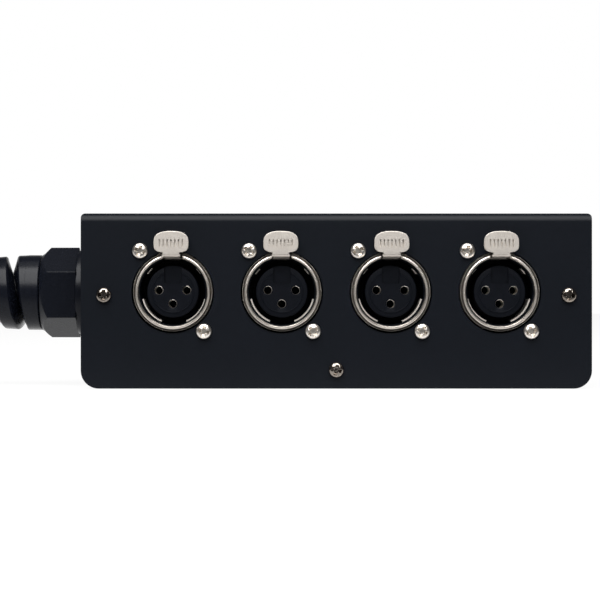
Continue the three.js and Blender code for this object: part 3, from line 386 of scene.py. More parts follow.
# %% Trunk route
COIL_X, COIL_Y = -215, 62.5
CABLE_PITCH = 10.5  # between turns, and between layers
FLOOR_LAYER = 6.5  # height of the cable's middle in the bottom layer
INNER_RADIUS = 43
COIL_TOP = 43
COIL_TURNS = 12.34
FIRST_TURNS, LAYER_TURNS = 3.5, 3  # in the bottom layer, and in each one above it
CLIMB = 0.25  # part of a turn before and after each change of layer
FANOUT_AT = (-3, 65, 50.3)  # from the coil's centre
DROP = [
    (-124.4, 0, 28.3), (-127.5, 0, 28.3), (-131, 0, 28.3), (-140, -0.5, 27.6), (-149, -2.2, 25.6),
    (-158, -4.8, 22.2), (-167, -8.6, 17.4), (-176, -12.4, 12.6), (-185, -15.1, 9.2), (-194, -16.7, 7.2),
    (-199, -17.25, 6.5), (-205, -17.25, 6.5),
]
EXIT = [
    (-57.9, 44.5, 38), (-51.8, 51.8, 38.8), (-45.8, 56.9, 40.8), (-39, 60.8, 43.8), (-31.6, 63.5, 47.1),
    (-23.9, 64.8, 49.2), (-13, 65, 50.3), (-3.3, 65, 50.3),
]


def coil_points(per_turn=36):
    """Four layers that spiral in and out, climbing a layer in the half turn where they reverse."""
    points = []
    for i in range(round(COIL_TURNS * per_turn)):
        turn = i / per_turn
        layer = 0 if turn < FIRST_TURNS else 1 + min(int((turn - FIRST_TURNS) / LAYER_TURNS), 2)
        along = turn - FIRST_TURNS - LAYER_TURNS * (layer - 1) if layer else turn
        whole = LAYER_TURNS if layer else FIRST_TURNS
        radius = INNER_RADIUS + CABLE_PITCH * (along if layer % 2 else whole - along)
        height = layer
        if layer < 3 and whole - along < CLIMB:
            height += 0.5 - 2 * (whole - along)
        if layer > 0 and along < CLIMB:
            height -= 0.5 - 2 * along
        angle = -math.pi / 2 - 2 * math.pi * turn
        x, y = COIL_X + radius * math.cos(angle), COIL_Y + radius * math.sin(angle)
        points.append((x, y, FLOOR_LAYER + CABLE_PITCH * height))
    return points


def smooth_route(points, step=4):
    """More points on one smooth curve through the chosen ones."""
    bpy.ops.curve.primitive_bezier_curve_add()
    guide = bpy.context.object
    spline = guide.data.splines[0]
    spline.bezier_points.add(len(points) - 2)
    for knot, point in zip(spline.bezier_points, points):
        knot.co = Vector(point)
        knot.handle_left_type = knot.handle_right_type = "AUTO"
    spline.resolution_u = step
    guide.data.dimensions = "3D"
    bpy.ops.object.convert(target="MESH")
    mesh = bpy.context.object.data
    route = [tuple(v.co) for v in mesh.vertices]
    bpy.data.objects.remove(bpy.context.object)
    return route


def cable(name, route, radius):
    """A round cable of one open line of points."""
    curve = bpy.data.curves.new(name, "CURVE")
    curve.dimensions = "3D"
    line = curve.splines.new("POLY")
    line.points.add(len(route) - 1)
    for point, place in zip(line.points, route):
        point.co = (*[v * MM for v in place], 1)
    curve.bevel_depth = radius * MM
    curve.bevel_resolution = 4
    curve.use_fill_caps = True
    piece = bpy.data.objects.new(name, curve)
    bpy.context.collection.objects.link(piece)
    return piece


def length_of(route):
    return sum(math.dist(a, b) for a, b in zip(route, route[1:])) * MM


deselect()
end_run = [(COIL_X + x, COIL_Y + y, z) for x, y, z in EXIT]
trunk_route = smooth_route(DROP) + coil_points() + smooth_route(end_run)
trunk = cable("multicore_cable", trunk_route, 5)

# %% [markdown]
# The tails are given as the CAD gives them: radius, degrees and height about the middle of the coil's
# top. They leave the boot side by side, run round the coil and turn back into the plugs.

# %% Tails
TAIL_ROUTES = [
    [
      [63.6, 61.7, 6.6], [65.7, 55.4, 4.4], [67, 47.3, 3.1], [66.5, 38.2, 3], [63.6, 28.3, 3],
      [52, -4, 3], [52, -22.3, 3], [52, -40.6, 3], [52, -58.9, 3], [52, -77.2, 3], [52, -95.5, 3],
      [52, -113.8, 3], [56.8, -132.1, 3.2], [53.9, -139.5, 7], [47.2, -143.7, 12.6],
    ],
    [
      [69.1, 63.3, 6.6], [71.4, 56.4, 4.4], [72.8, 47.5, 3.1], [72.2, 37.6, 3], [69.1, 26.7, 3],
      [57.8, -4, 3], [57.8, -21.9, 3], [57.8, -39.8, 3], [57.8, -57.7, 3], [57.8, -75.5, 3],
      [57.8, -93.4, 3], [57.8, -111.3, 3], [65.1, -133.7, 3], [64.1, -146.8, 5], [57.4, -159.1, 9.3],
      [45.8, -169.2, 13.5],
    ],
    [
      [74.6, 64.8, 6.6], [77.1, 57.3, 4.4], [78.6, 47.7, 3.1], [78, 37, 3], [74.6, 25.2, 3],
      [63.6, -4, 3], [63.6, -21.5, 3], [63.6, -39.1, 3], [63.6, -56.6, 3], [63.6, -74.2, 3],
      [63.6, -91.7, 3], [63.6, -109.3, 3], [72.7, -133.2, 3], [74.7, -148.4, 4], [71.6, -163.5, 7],
      [63.6, -178.6, 10.8], [51.3, -193.8, 14],
    ],
    [
      [80.2, 66, 6.6], [82.8, 58, 4.4], [84.4, 47.8, 3.1], [83.8, 36.5, 3], [80.2, 24, 3],
      [69.4, -4, 3], [69.4, -21.3, 3], [69.4, -38.5, 3], [69.4, -55.8, 3], [69.4, -73.1, 3],
      [69.4, -90.3, 3], [69.4, -107.6, 3], [77.6, -130.2, 3], [79.4, -145.5, 3.4], [77.8, -161.8, 5.5],
      [73.9, -178.9, 8.6], [68.2, -196.4, 11.8], [60.3, -213.8, 14.4],
    ],
]
PLUG_ROWS = [-25, -4, 17.3, 38.6]
PLUG_Z = 58.4
PLUG_MOUTH = 52  # from the coil's centre
PLUG_LENGTH, BOOT_LENGTH = 58, 17


def tail_points(i):
    y = FANOUT_AT[1] + (i - 1.5) * 5.8
    x = FANOUT_AT[0] + 28.3
    boot = PLUG_MOUTH - PLUG_LENGTH - BOOT_LENGTH - 0.3
    turns = [
        (r * math.cos(math.radians(d)), r * math.sin(math.radians(d)), COIL_TOP + z)
        for r, d, z in TAIL_ROUTES[i]
    ]
    start = [(x, y, FANOUT_AT[2]), (x + 2.5, y, FANOUT_AT[2])]
    end = [(boot - 7.8, PLUG_ROWS[i], PLUG_Z), (boot - 0.3, PLUG_ROWS[i], PLUG_Z)]
    local = start + turns + end
    return [(COIL_X + a, COIL_Y + b, c) for a, b, c in local]


# %% [markdown]
# ## The cover
# The real cover is one sheet of steel, 1.5 mm thick, folded down at the front and the rear. So the model
# starts as a block that loses its floor and ends, gets its two bends, and is then given its thickness.

# %% Folded cover
END, TOP = 75, 51.5  # half the box's length, and its height
SHEET = 1.5
cover = block("folded_cover", (-END, FRONT, 0), (END, -FRONT, TOP))
choose(cover, "FACE", lambda face: abs(face.normal.x) > 0.5 or face.normal.z < -0.5)
bpy.ops.mesh.delete(type="FACE")
bpy.ops.object.mode_set(mode="OBJECT")
round_corners(cover, 0, lambda p: p.z > 50, 2.5)
choose(cover, "VERT", lambda vertex: vertex.co.z < 0.001)
bpy.ops.mesh.bevel(offset=5.3 * MM, segments=12, affect="VERTICES")
bpy.ops.object.mode_set(mode="OBJECT")
apply(cover, "SOLIDIFY", thickness=SHEET * MM, offset=-1)
envelope = block("envelope", (-END, -30, -5), (END, 30, TOP))
round_corners(envelope, 1, lambda p: p.z > 50, 1.2, 6)
cut(cover, envelope, operation="INTERSECT")
print("cover", [round(v * 1000, 1) for v in cover.dimensions])

# %% Holes in the cover
SOCKET_SCREWS = [(-9.6, 12), (9.15, -11.6)]
COVER_SCREWS = {"left": (-68.2, 27.4), "right": (68.2, 27.4), "bottom": (0, 5.5)}
RING_HOLE, RING_HOLE_Z = 12.1, SOCKET_Z - 0.12  # its middle is a little lower than the ring's
for x in SOCKET_XS:
    hole = rod("hole", RING_HOLE, (x, -30, RING_HOLE_Z), (x, -22, RING_HOLE_Z), 96)
    notch = block("notch", (x - 3.2, -30, SOCKET_Z), (x + 3.2, -22, SOCKET_Z + 13.2))
    cut(cover, hole, notch)
    for dx, dz in SOCKET_SCREWS:
        cut(cover, rod("hole", 1.7, (x + dx, -30, SOCKET_Z + dz), (x + dx, -22, SOCKET_Z + dz), 24))
for x, z in COVER_SCREWS.values():
    cut(cover, rod("hole", 1.7, (x, -32, z), (x, 32, z), 24))
round_edges(cover, 0.22, 2, 50)
dress(cover, powder_coat, stands_for=["cover"], smooth=30)


# %% The tray keeps its CAD shape
def repaint(node, finish):
    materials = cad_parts[node].data.materials
    materials.clear()
    materials.append(finish)


repaint("base_tray", powder_coat)

# %% [markdown]
# ## The sockets
# A socket is a nickel-plated ring that stands a little proud of the panel, with its bore behind it painted
# black as shade.
# Its rim is a flat bead, with a dark groove and a thin lip outside it. One socket is made at the origin,
# with its depth along Y, and then copied to its four places.

# %% Shell
SLOT = 2.95  # half the width of the slot that the push tab's lever goes through
PIVOT = (0, 11, 11.2)  # of the lever
shell = turned(
    "shell",
    [
        [11.6, 21], [11.6, 0.3], [11.57, 0.2], [11.47, 0.2], [11.28, 2.8], [11.22, 2.8],
        [11.02, -0.66], [10.96, -0.9], [10.82, -1.04], [10.6, -1.08], [10.36, -1.06], [10.2, -0.92],
        [10.1, -0.68], [10.06, -0.3],
        [10.06, 13.5], [7.95, 13.5], [7.95, 17.5], [10.1, 17.5], [10.1, 21],
    ],
    96,
    ring=True,
)
settle(shell, turn=(-90, 0, 0))
slot_cutter = block("slot", (-SLOT, -3, 8.6), (SLOT, 8, 16))
cut(shell, slot_cutter, block("slot", (-SLOT, 7, 9.7), (SLOT, 18.5, 16)))
flange = block("flange", (-13, 1.65, -15.5), (13, 3.65, 15.5))
round_corners(flange, 1, lambda p: True, 2.5)
cut(flange, rod("bore", 12.4, (0, 0, 0), (0, 5, 0), 64))
cut(flange, block("slot", (-SLOT, 0, 8), (SLOT, 5, 14.6)))
for x, z in SOCKET_SCREWS:
    cut(flange, rod("hole", 1.7, (x, 0, z), (x, 5, z), 24))
round_edges(flange, 0.3)
saddle = block("saddle", (-5.2, 7, 10.6), (5.2, 17.5, 13.6))
cut(saddle, block("slot", (-SLOT, 6, 9.7), (SLOT, 18.5, 16)))
cut(saddle, settle(turned("hole", [[1.2, -7], [1.2, 7]], 24), PIVOT, (0, 90, 0)))
round_edges(saddle, 0.3)
shell = join("socket_shell", shell, flange, saddle)

# %% [markdown]
# The insert is the black face with three contact holes. It has a fine moulded ring and a key recess at the
# top.
# A thin black lining with a floor, in the bore, is painted shade for the dark inside of the shell. A split
# contact shows as a thin bright rim in each hole, set a little to one side, and two curved earth springs
# show below between the insert and the bore.

# %% Insert
CONTACTS = [(-4.1, 0.5), (4.1, 0.5), (0, -3.5)]
insert = turned(
    "insert",
    [
        [9.7, 20.15], [9.7, 17.65], [7.65, 17.65], [7.65, 1.5], [7.5, 1.12], [7.2, 1.0], [6.3, 1.0],
        [6.18, 0.84], [5.96, 0.84], [5.84, 1.0], [3.0, 1.0],
    ],
    96,
)
settle(insert, turn=(-90, 0, 0))
key = block("key", (-2.6, 0, 2.4), (2.6, 1.7, 9))
round_corners(key, 1, lambda p: p.z < 3, 0.4, 4)
cut(insert, key)
for x, z in CONTACTS:
    cut(insert, rod("hole", 1.3, (x, 0, z), (x, 12, z), 32))
round_edges(insert, 0.08, 2, 40)
# Painted shade: a black lining and floor stand for the shade deep in the shell's bore.
shade_lining = turned(
    "shade_lining",
    [[10.0, 0.1], [9.72, 0.1], [9.72, 12.6], [7.75, 12.6], [7.75, 13.3], [10.0, 13.3]],
    96,
    ring=True,
)
settle(shade_lining, turn=(-90, 0, 0))
cut(shade_lining, block("slot", (-SLOT, -3, 8), (SLOT, 8, 16)), block("slot", (-SLOT, 7, 9.6), (SLOT, 14, 16)))
cups = [rod("cup", 1.1, (x, 19, z), (x, 23.6, z), 20) for x, z in CONTACTS]
insert = join("socket_insert", insert, shade_lining, *cups)

# %% Contacts and earth springs
rims = []
for x, z in CONTACTS:
    rim = turned("rim", [[1.27, 0.12], [1.18, 0.08], [1.18, 7], [1.27, 7]], 40, ring=True)
    rims.append(settle(rim, (x - 0.07, 1.06, z - 0.05), (-90, 0, 0)))


def earth_spring(start, end, r_start, r_end, width):
    """A curved leaf from one angle to another, swept by Blender's spin from a small upright strip."""
    ends = ((r_start, math.radians(start)), (r_end, math.radians(end)))
    a, b = (Vector((r * math.cos(t), 0, r * math.sin(t))) for r, t in ends)
    turn = math.radians(end - start)
    chord = b - a
    reach = chord.length / 2 / math.sin(abs(turn) / 2)
    inward = -(a + b).normalized()
    centre = (a + b) / 2 + inward * reach * math.cos(turn / 2)
    outward = (a - centre).normalized()
    bpy.ops.mesh.primitive_plane_add(size=1, location=(0, 5 * MM, 0))
    strip = bpy.context.object
    strip.name = "leaf"
    strip.scale = (width * MM, 8 * MM, 1)
    bpy.ops.object.transform_apply(location=True, rotation=False, scale=True)
    angle = math.degrees(math.atan2(outward.z, outward.x))
    settle(strip, a, (0, -angle, 0))
    only(strip)
    bpy.ops.object.mode_set(mode="EDIT")
    bpy.ops.mesh.select_mode(type="VERT")
    bpy.ops.mesh.select_all(action="SELECT")
    bpy.ops.mesh.spin(steps=14, angle=turn, center=centre * MM, axis=(0, 1, 0))
    bpy.ops.mesh.select_all(action="SELECT")
    bpy.ops.mesh.fill_holes(sides=4)
    bpy.ops.mesh.normals_make_consistent(inside=False)
    bpy.ops.object.mode_set(mode="OBJECT")
    return strip


leaves = [
    earth_spring(193, 247, 9.35, 8.6, 0.42),
    earth_spring(-13, -67, 9.35, 8.6, 0.42),
    earth_spring(134, 146, 9.4, 9.45, 0.2),
    earth_spring(46, 34, 9.4, 9.45, 0.2),
]
springs = join("earth_springs", *leaves)
contacts = join("contacts", *rims)

# %% [markdown]
# ## The push tabs
# Each tab is the bent-up front of a pressed lever. Its face is a wide rounded plate, its neck goes
# through the slot in the ring, and the arm behind carries the hook that holds a plug. Seven shallow
# strokes across the face give the thumb a grip.

# %% Lever
ARM = 2.45  # half its width
tab = settle(turned("tab", [[1, -3.4], [1, -2.4]], 96), turn=(-90, 0, 0))
for vertex in tab.data.vertices:
    # Drawn out from a disc to a wide oval, with a low crown and squarer shoulders toward the neck
    x, z = vertex.co.x / MM, vertex.co.z / MM
    high, square = (3.3, 0.77) if z > 0 else (3.0, 0.52)
    vertex.co.x = math.copysign(5.1 * abs(x) ** square, x) * MM
    vertex.co.z = (14.4 + math.copysign(high * abs(z) ** square, z)) * MM
round_edges(tab, 0.12, 2, 50)
for i in range(7):
    x = (i - 3) * 1.1
    cut(tab, block("stroke", (x - 0.21, -3.6, 13.15), (x + 0.21, -2.6, 15.3)))
neck = block("neck", (-ARM, -3.38, 10.72), (ARM, -2.4, 12.2))
bend = block("bend", (-2.65, -3.2, 10.2), (2.65, -2.1, 10.95))
round_corners(bend, 0, lambda p: p.y < -3.1 and p.z < 10.3, 0.7, 6)
arm = block("arm", (-ARM, -2.5, 10), (ARM, 12, 11))
hook = block("hook", (-ARM, 5.5, 9.7), (ARM, 7.1, 10.5))
riser = block("riser", (-ARM, 11, 10), (ARM, 12, 12.4))
tail = block("tail", (-ARM, 11, 11.4), (ARM, 16.8, 12.4))
for piece in (neck, arm, hook, riser, tail):
    round_edges(piece, 0.12, 2)
pin = settle(turned("pin", [[0.9, -4.7], [0.9, 4.7]], 32), PIVOT, (0, 90, 0))
lever = join("latch_lever", tab, neck, bend, arm, hook, riser, tail, pin)

# %% [markdown]
# ## Screws
# Pan-head screws with a cross recess hold everything. The head is turned with a soft dome, and the cross
# is cut by two tapered blades. Each screw stops at its own angle, as real ones do.


# %% One pan-head screw
def pan_screw(name, radius, height, shank, length):
    """Head towards -Z, with the underside of the head at zero."""
    steps = [
        [shank, length], [shank, 0], [radius * 0.97, 0], [radius, -0.1 * height],
        [radius * 0.985, -0.45 * height], [radius * 0.9, -0.72 * height], [radius * 0.72, -0.9 * height],
        [radius * 0.4, -height],
    ]
    screw = turned(name, steps, 48)
    for turn in (0, 90):
        blade = block("blade", (-radius * 0.76, -0.54, -height - 0.2), (radius * 0.76, 0.54, 0.3))
        for vertex in blade.data.vertices:
            if vertex.co.z > -height * 0.5 * MM:
                vertex.co.x *= 0.5
                vertex.co.y *= 0.8
        cut(screw, settle(blade, turn=(0, 0, turn)))
    round_edges(screw, 0.07, 2, 40)
    return screw


socket_screw = pan_screw("socket_screw", 2.3, 1.5, 1.4, 5)
cover_screw = pan_screw("cover_screw", 2.25, 1.5, 1.4, 6)


def drive(master, name, at, angle, finish, rear=False):
    """Puts a copy of a screw into the front, or the rear, with its cross at an angle."""
    twin = copy_of(master, name + "_head")
    settle(twin, turn=(0, 0, angle))
    settle(twin, at, (90 if rear else -90, 0, 0))
    dress(twin, finish, stands_for=[name], smooth=40)


LIFT = 0.15  # gap between a head and the panel
ANGLES = {"upper": [20, 35, 62, 10], "lower": [12, 50, 28, 70]}
for label, (dx, dz) in zip(("upper", "lower"), SOCKET_SCREWS):
    for i, x in enumerate(SOCKET_XS):
        name = f"socket_screw_{label}_{i + 1}"
        at = (x + dx, FRONT - LIFT, SOCKET_Z + dz)
        drive(socket_screw, name, at, ANGLES[label][i], bright_nickel)
COVER_ANGLES = {"front": [5, 8, 15], "rear": [40, 70, 25]}
for k, (label, (x, z)) in enumerate(COVER_SCREWS.items()):
    for side, y in (("front", FRONT - LIFT), ("rear", -FRONT + LIFT)):
        name, angle = f"cover_screw_{side}_{label}", COVER_ANGLES[side][k]
        drive(cover_screw, name, (x, y, z), angle, black_nickel, rear=side == "rear")
for master in (socket_screw, cover_screw):
    bpy.data.objects.remove(master)

# %% Four sockets in place
# The levers and the earth springs have some play, and each one sits a little to its own side.
LEVER_PLAY = [-0.28, -0.25, 0.14, 0.14]
SPRING_PLAY = [0.32, 0.08, -0.22, -0.32]
for i, x in enumerate(SOCKET_XS):
    n = i + 1
    at = (x, FRONT, SOCKET_Z)
    ring = copy_of(shell, f"socket_ring_{n}", at)
    dress(ring, nickel, stands_for=[f"socket_shell_{n}"])
    face = copy_of(insert, f"socket_face_{n}", at)
    dress(face, insert_nylon, stands_for=[f"socket_insert_{n}"])
    dress(copy_of(contacts, f"socket_contacts_{n}", at), satin_nickel)
    leaf = copy_of(springs, f"earth_springs_{n}", (x + SPRING_PLAY[i], FRONT, SOCKET_Z))
    dress(leaf, satin_nickel)
    push = copy_of(lever, f"push_tab_{n}", (x + LEVER_PLAY[i], FRONT, SOCKET_Z))
    dress(push, satin_nickel, body=f"latch_{n}", stands_for=[f"latch_lever_{n}"])
for master in (shell, insert, springs, contacts, lever):
    bpy.data.objects.remove(master)

# %% [markdown]
# A small spring under each lever's tail brings the tab back. The tail presses it shorter when the tab is
# pushed. Here it is wound at rest, between the ends of its CAD part.

# %% Return springs
WIRE = 0.2  # its radius
SPRING_RADIUS, SPRING_TURNS = 1, 2
SPRING_STEPS = 48
for n in range(1, 5):
    foot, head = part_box(f"latch_spring_{n}")
    middle = [(a + b) / 2 / MM for a, b in zip(foot, head)]
    low, high = foot[2] / MM + WIRE, head[2] / MM - WIRE
    winding = []
    for share in [i / SPRING_STEPS for i in range(SPRING_STEPS + 1)]:
        angle = 2 * math.pi * SPRING_TURNS * share
        x, y = SPRING_RADIUS * math.cos(angle), SPRING_RADIUS * math.sin(angle)
        winding.append((middle[0] + x, middle[1] + y, low + (high - low) * share))
    only(cable(f"return_spring_{n}", winding, WIRE))
    bpy.ops.object.convert(target="MESH")
    spring = bpy.context.object
    dress(spring, spring_steel, stands_for=[f"latch_spring_{n}"])
    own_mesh(spring)

# %% [markdown]
# ## Where the cable enters
# The gland is a screwed collar with a hexagon, and a round cap that is moulded in one with its spiral.
# The spiral lets the cable bend in a wide curve: it is a thick ridge that winds outward and gets thinner.

# %% Gland body
body = turned(
    "collar",
    [
        [5.3, -9.5], [9.8, -9.5], [9.8, 2.1], [12.6, 2.1], [12.9, 2.25], [13.0, 2.6], [13.0, 3.7],
        [12.85, 4.2], [12.5, 4.4], [5.3, 4.4],
    ],
    96,
    ring=True,
)
ACROSS_FLATS = 24
HEXAGON_TURN = 26.5  # where it stopped when it was screwed in
corner = ACROSS_FLATS / math.sqrt(3)
hexagon = turned("hexagon", [[corner, 4.2], [corner, 15.3]], 6)
settle(hexagon, turn=(0, 0, HEXAGON_TURN))
envelope = turned("envelope", [[15, 3], [15, 11.7], [11.9, 14.8], [11.7, 15.3]], 96)
cut(hexagon, envelope, operation="INTERSECT")
cut(hexagon, turned("chamber", [[8.6, 5], [8.6, 17]], 48))
round_edges(hexagon, 0.4, 3, 25)
body = join("gland_hexagon", body, hexagon)
settle(body, (WALL, 0, GLAND_Z), (0, -90, 0))
dress(body, gland_nylon, stands_for=["gland_body"], smooth=30)
washer = turned(
    "collar_washer",
    [[10.1, 0.15], [12.2, 0.15], [12.6, 0.5], [12.6, 1.6], [12.2, 1.95], [10.1, 1.95]],
    96,
    ring=True,
)
settle(washer, (WALL, 0, GLAND_Z), (0, -90, 0))
dress(washer, rubber, stands_for=["gland_washer"])

# %% [markdown]
# Blender's Screw modifier winds a profile round an axis, which is exactly how a spiral relief is drawn.
# Afterwards the outer edge is drawn in toward the far end, because the real ridge gets lower there.

# %% Cap and spiral
PITCH, TURNS = 7.6, 4.53
SPIRAL_START = 17.0
ROOT, CREST = 6.3, 11.0  # radii of the section where its ridge begins and ends
FIRST_CREST, LAST_CREST = 11.53, 8.2  # what the crest becomes along the relief
cap = turned(
    "gland_cap",
    [
        [5.3, 12.6], [8.3, 12.6], [8.3, 15.6], [11.2, 15.6], [11.5, 15.9], [11.5, 19.7], [11.3, 19.9],
        [5.3, 19.9],
    ],
    96,
    ring=True,
)
section = [
    (5.3, -3.5), (ROOT, -3.5), (9.6, -2.4), (10.6, -2.1), (CREST, -1.6),
    (CREST, 2.0), (10.6, 2.5), (9.6, 2.8), (ROOT, 3.9), (5.3, 3.9),
]
bpy.ops.mesh.primitive_circle_add(vertices=len(section), radius=MM)
spiral = bpy.context.object
for vertex, (r, z) in zip(spiral.data.vertices, section):
    # Local +X will point up, so the spiral starts at the bottom, which is at -X
    vertex.co = Vector((-r, 0, SPIRAL_START + z)) * MM
apply(
    spiral, "SCREW", axis="Z", angle=math.radians(360 * TURNS), screw_offset=PITCH * TURNS * MM,
    steps=round(48 * TURNS), render_steps=round(48 * TURNS), iterations=1, use_normal_calculate=True,
)
only(spiral)
bpy.ops.object.mode_set(mode="EDIT")
bpy.ops.mesh.select_mode(type="VERT")
bpy.ops.mesh.select_all(action="SELECT")
bpy.ops.mesh.fill_holes(sides=0)
bpy.ops.mesh.normals_make_consistent(inside=False)
bpy.ops.object.mode_set(mode="OBJECT")
for vertex in spiral.data.vertices:
    r = math.hypot(vertex.co.x, vertex.co.y) / MM
    share = min(1, max(0, (vertex.co.z / MM - SPIRAL_START) / (PITCH * TURNS)))
    if r > ROOT:
        crest = FIRST_CREST + (LAST_CREST - FIRST_CREST) * share**1.6
        new = ROOT + (r - ROOT) * (crest - ROOT) / (CREST - ROOT)
        vertex.co.x *= new / r
        vertex.co.y *= new / r
cap = join("gland_cap", cap, spiral)
settle(cap, (WALL, 0, GLAND_Z), (0, -90, 0))
dress(cap, gland_nylon, stands_for=["gland_spiral_cap"], smooth=40)
print("relief", [round(v * 1000, 1) for v in cap.dimensions])

# %% [markdown]
# ## The fan-out and its plugs
# The boot is a rubber moulding, round where the cable enters and flat where the tails leave. The plugs
# have a nickel shell with a fine groove round it, three bright pins and a ribbed rubber boot.

# %% Fan-out boot
fanout = turned(
    "split_boot",
    [
        [6.2, 0], [6.9, 0.5], [7.0, 1.4], [7.0, 7], [7.0, 9], [7.0, 14], [7.0, 18], [7.0, 24], [7.0, 27.2],
        [6.7, 28],
    ],
    48,
)
for vertex in fanout.data.vertices:
    share = min(1, max(0, (vertex.co.z / MM - 3) / 19))
    blend = share * share * (3 - 2 * share)
    vertex.co.x *= 1 + blend * (13.3 / 7 - 1)
    vertex.co.y *= 1 + blend * (4.4 / 7 - 1)
settle(fanout, turn=(90, 0, 90))
settle(fanout, (COIL_X + FANOUT_AT[0], COIL_Y + FANOUT_AT[1], FANOUT_AT[2]))
dress(fanout, rubber, stands_for=["fanout_boot"])

# %% Tie
TIE_ANGLE = 150
TIE_ROOM = 5.6  # from the middle of the nearest turn of cable to the band
inside = INNER_RADIUS - TIE_ROOM
outside = INNER_RADIUS + CABLE_PITCH * FIRST_TURNS + TIE_ROOM
top = COIL_TOP + 0.6
tie = block("coil_band", (inside, -8, 1.2), (outside, 8, top))
round_corners(tie, 1, lambda p: True, 5, 8)
choose(tie, "FACE", lambda face: abs(face.normal.y) > 0.9)
bpy.ops.mesh.delete(type="FACE")
bpy.ops.object.mode_set(mode="OBJECT")
apply(tie, "SOLIDIFY", thickness=1.15 * MM, offset=1)
strap_end = block("strap_end", (inside + 4, -8, top + 1.05), (outside - 13, 8, top + 2.8))
round_corners(strap_end, 2, lambda p: p.x > inside + 10, 6, 8)
tie = join("coil_band", tie, strap_end)
round_edges(tie, 0.25, 2, 50)
settle(tie, (COIL_X, COIL_Y, 0), (0, 0, TIE_ANGLE))
dress(tie, tape, stands_for=["coil_tie"])

# %% One plug
plug_shell = turned(
    "plug_sleeve",
    [
        [9.3, 0], [9.5, 0.3], [9.5, 17.5], [9.2, 17.8], [9.2, 18.6], [9.5, 18.9], [9.5, 46], [9.3, 47.5],
        [7.9, 57.2], [7.6, 57.8], [7.3, 58], [5.6, 58], [5.6, 24.3], [8.2, 24.3], [8.2, 0.3], [8.4, 0],
    ],
    64,
    ring=True,
)
plug_face = turned("plug_core", [[7.9, 24], [7.9, 14.3], [7.6, 14], [2, 14]], 48)
for x, y in CONTACTS:
    # The plug lies with its local X to the side and its local Y down
    cut(plug_face, settle(turned("seat", [[1.45, 13], [1.45, 14.4]], 24), (x, -y, 0)))
pins = []
for x, y in CONTACTS:
    pin = turned("pin", [[1.2, 20], [1.2, 3.9], [1.05, 3.4], [0.6, 3.05], [0.2, 3]], 24)
    pins.append(settle(pin, (x, -y, 0)))
plug_pins = join("plug_pins", *pins)
ribs = [[2.8, 52.2], [5.2, 52.2], [5.2, 58.15], [7.2, 58.15], [7.3, 58.8]]
for k in range(5):
    z, r = 60.2 + 2.9 * k, 7.0 - 0.58 * k
    ribs += [[r, z], [r - 0.55, z + 0.4], [r - 0.6, z + 1.3], [r - 0.25, z + 1.7]]
plug_boot = turned("plug_ribs", ribs + [[4.0, 75], [2.8, 75.15]], 48, ring=True)


# %% Tails and plugs in place
def lay_out(piece, name, row, finish, stands_for=()):
    """Lays a copy of a plug's part on the coil, in one of the rows."""
    twin = copy_of(piece, name)
    settle(twin, turn=(0, 0, 90))
    settle(twin, (COIL_X + PLUG_MOUTH, COIL_Y + row, PLUG_Z), (0, -90, 0))
    return dress(twin, finish, stands_for=stands_for)


tails = []
for i, row in enumerate(PLUG_ROWS):
    n = i + 1
    route = smooth_route(tail_points(i), 5)
    tail = cable(f"tail_{n}", route, 2.5)
    dress(tail, jacket, stands_for=[f"fanout_tail_{n}"])
    shell = lay_out(plug_shell, f"plug_{n}", row, nickel, [f"plug_shell_{n}"])
    face = lay_out(plug_face, f"plug_face_{n}", row, insert_nylon, [f"plug_insert_{n}"])
    pin = lay_out(plug_pins, f"plug_pins_{n}", row, nickel)
    boot = lay_out(plug_boot, f"plug_sleeve_{n}", row, rubber, [f"plug_boot_{n}"])
    tails.append((tail, route, [shell, face, pin, boot]))
for master in (plug_shell, plug_face, plug_pins, plug_boot):
    bpy.data.objects.remove(master)

# %% The trunk's finish, and the tails' lengths
dress(trunk, jacket, stands_for=["trunk_cable", "trunk_coil"])
for tail, route, parts in tails:
    print(tail.name, round(length_of(route), 3), "m")

# %% Inner pieces keep their CAD shape
repaint("gland_locknut", gland_nylon)
repaint("gland_seal", rubber)
repaint("cable_entry", jacket)

# %% [markdown]
# ## Light and surroundings
# The photograph has one broad softbox in front and above, a white table and a white backdrop. The camera
# sees plain white. What the metal reflects is bright behind and below the box, and dim in front of it.

# %% World
world = bpy.data.worlds.new("studio")
bpy.context.scene.world = world
world.use_nodes = True
tree = world.node_tree
background = tree.nodes["Background"]
direction = add_node(tree, "ShaderNodeTexCoord").outputs["Generated"]
parts = add_node(tree, "ShaderNodeSeparateXYZ", [(direction, "Vector")])
backdrop = add_node(
    tree, "ShaderNodeMapRange", [(parts.outputs["Y"], "Value")],
    interpolation_type="SMOOTHSTEP", From_Min=0.2, From_Max=0.7, To_Min=0.0, To_Max=0.8,
)
ceiling = add_node(
    tree, "ShaderNodeMapRange", [(parts.outputs["Z"], "Value")],
    interpolation_type="SMOOTHSTEP", From_Min=0.1, From_Max=0.6, To_Min=1.0, To_Max=0.0,
)
both = [(backdrop.outputs["Result"], 0), (ceiling.outputs["Result"], 1)]
backdrop = add_node(tree, "ShaderNodeMath", both, operation="MULTIPLY")
backdrop = add_node(tree, "ShaderNodeMath", [(backdrop.outputs[0], 0)], operation="ADD")
backdrop.inputs[1].default_value = 0.06
rays = add_node(tree, "ShaderNodeLightPath")
level = add_node(tree, "ShaderNodeMix", [(rays.outputs["Is Camera Ray"], "Factor")], data_type="FLOAT")
tree.links.new(backdrop.outputs[0], level.inputs[2])
level.inputs[3].default_value = 1.0
background.inputs["Color"].default_value = (1, 1, 1, 1)
tree.links.new(level.outputs[0], background.inputs["Strength"])

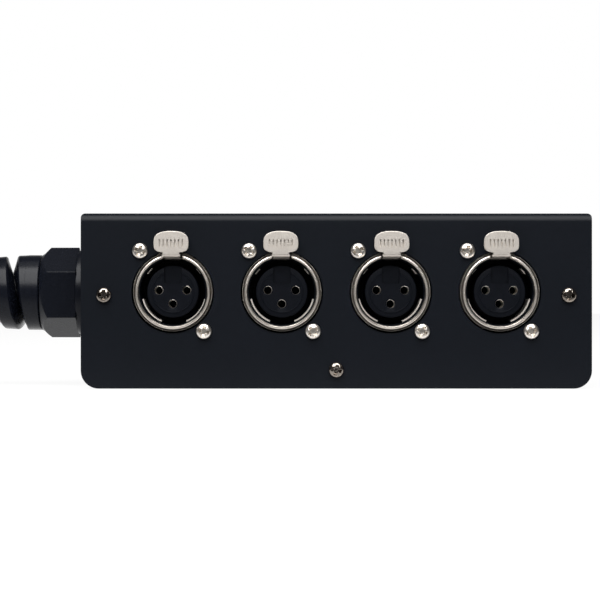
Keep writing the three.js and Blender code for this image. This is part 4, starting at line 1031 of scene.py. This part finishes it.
# %% Floor
bpy.ops.mesh.primitive_plane_add(size=6, location=(0, 0, -0.0002))
floor = bpy.context.object
floor.name = "floor"
paper, tree, shader, place = finish_of("white_paper", "#f2f2f2", 0.9, Specular_IOR_Level=0.1)
rays = add_node(tree, "ShaderNodeLightPath")
# In the gloss of the object the paper ends just in front of it, as the table does in the photograph
across = add_node(tree, "ShaderNodeSeparateXYZ", [(place, "Vector")])
table = add_node(
    tree, "ShaderNodeMapRange", [(across.outputs["Y"], "Value")],
    interpolation_type="SMOOTHSTEP", From_Min=-0.12, From_Max=0.0, To_Min=0.15, To_Max=1.5,
)
glow = add_node(tree, "ShaderNodeMix", [(rays.outputs["Is Camera Ray"], "Factor")], data_type="FLOAT")
tree.links.new(table.outputs["Result"], glow.inputs[2])
glow.inputs[3].default_value = 1.0
white = add_node(tree, "ShaderNodeEmission", [(glow.outputs[0], "Strength")])
share = add_node(tree, "ShaderNodeMath", [(rays.outputs["Is Camera Ray"], 0)], operation="MULTIPLY")
share.inputs[1].default_value = 0.92
share = add_node(
    tree, "ShaderNodeMath", [(share.outputs[0], 0), (rays.outputs["Is Glossy Ray"], 1)], operation="MAXIMUM"
)
blend = add_node(
    tree, "ShaderNodeMixShader", [(share.outputs[0], 0), (shader.outputs[0], 1), (white.outputs[0], 2)]
)
output = next(n for n in tree.nodes if n.type == "OUTPUT_MATERIAL")
tree.links.new(blend.outputs[0], output.inputs["Surface"])
floor.data.materials.append(paper)
floor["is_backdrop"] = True


# %% Lamps
def lamp(name, at, aim, size, power):
    bpy.ops.object.light_add(type="AREA", location=at)
    light = bpy.context.object
    light.name = name
    light.data.size = size
    light.data.energy = power
    light.rotation_euler = (Vector(aim) - Vector(at)).to_track_quat("-Z", "Y").to_euler()


lamp("softbox", (-0.1, -0.8, 1.1), (0, 0, 0.02), 1.4, 52)
lamp("overhead", (0, 0, 1.3), (0, 0, 0.02), 0.9, 2)

# %% View and sizes
bpy.context.scene.view_settings.view_transform = "Standard"
low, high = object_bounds()
print("visual box", [round(v, 4) for v in (*low, *high)])
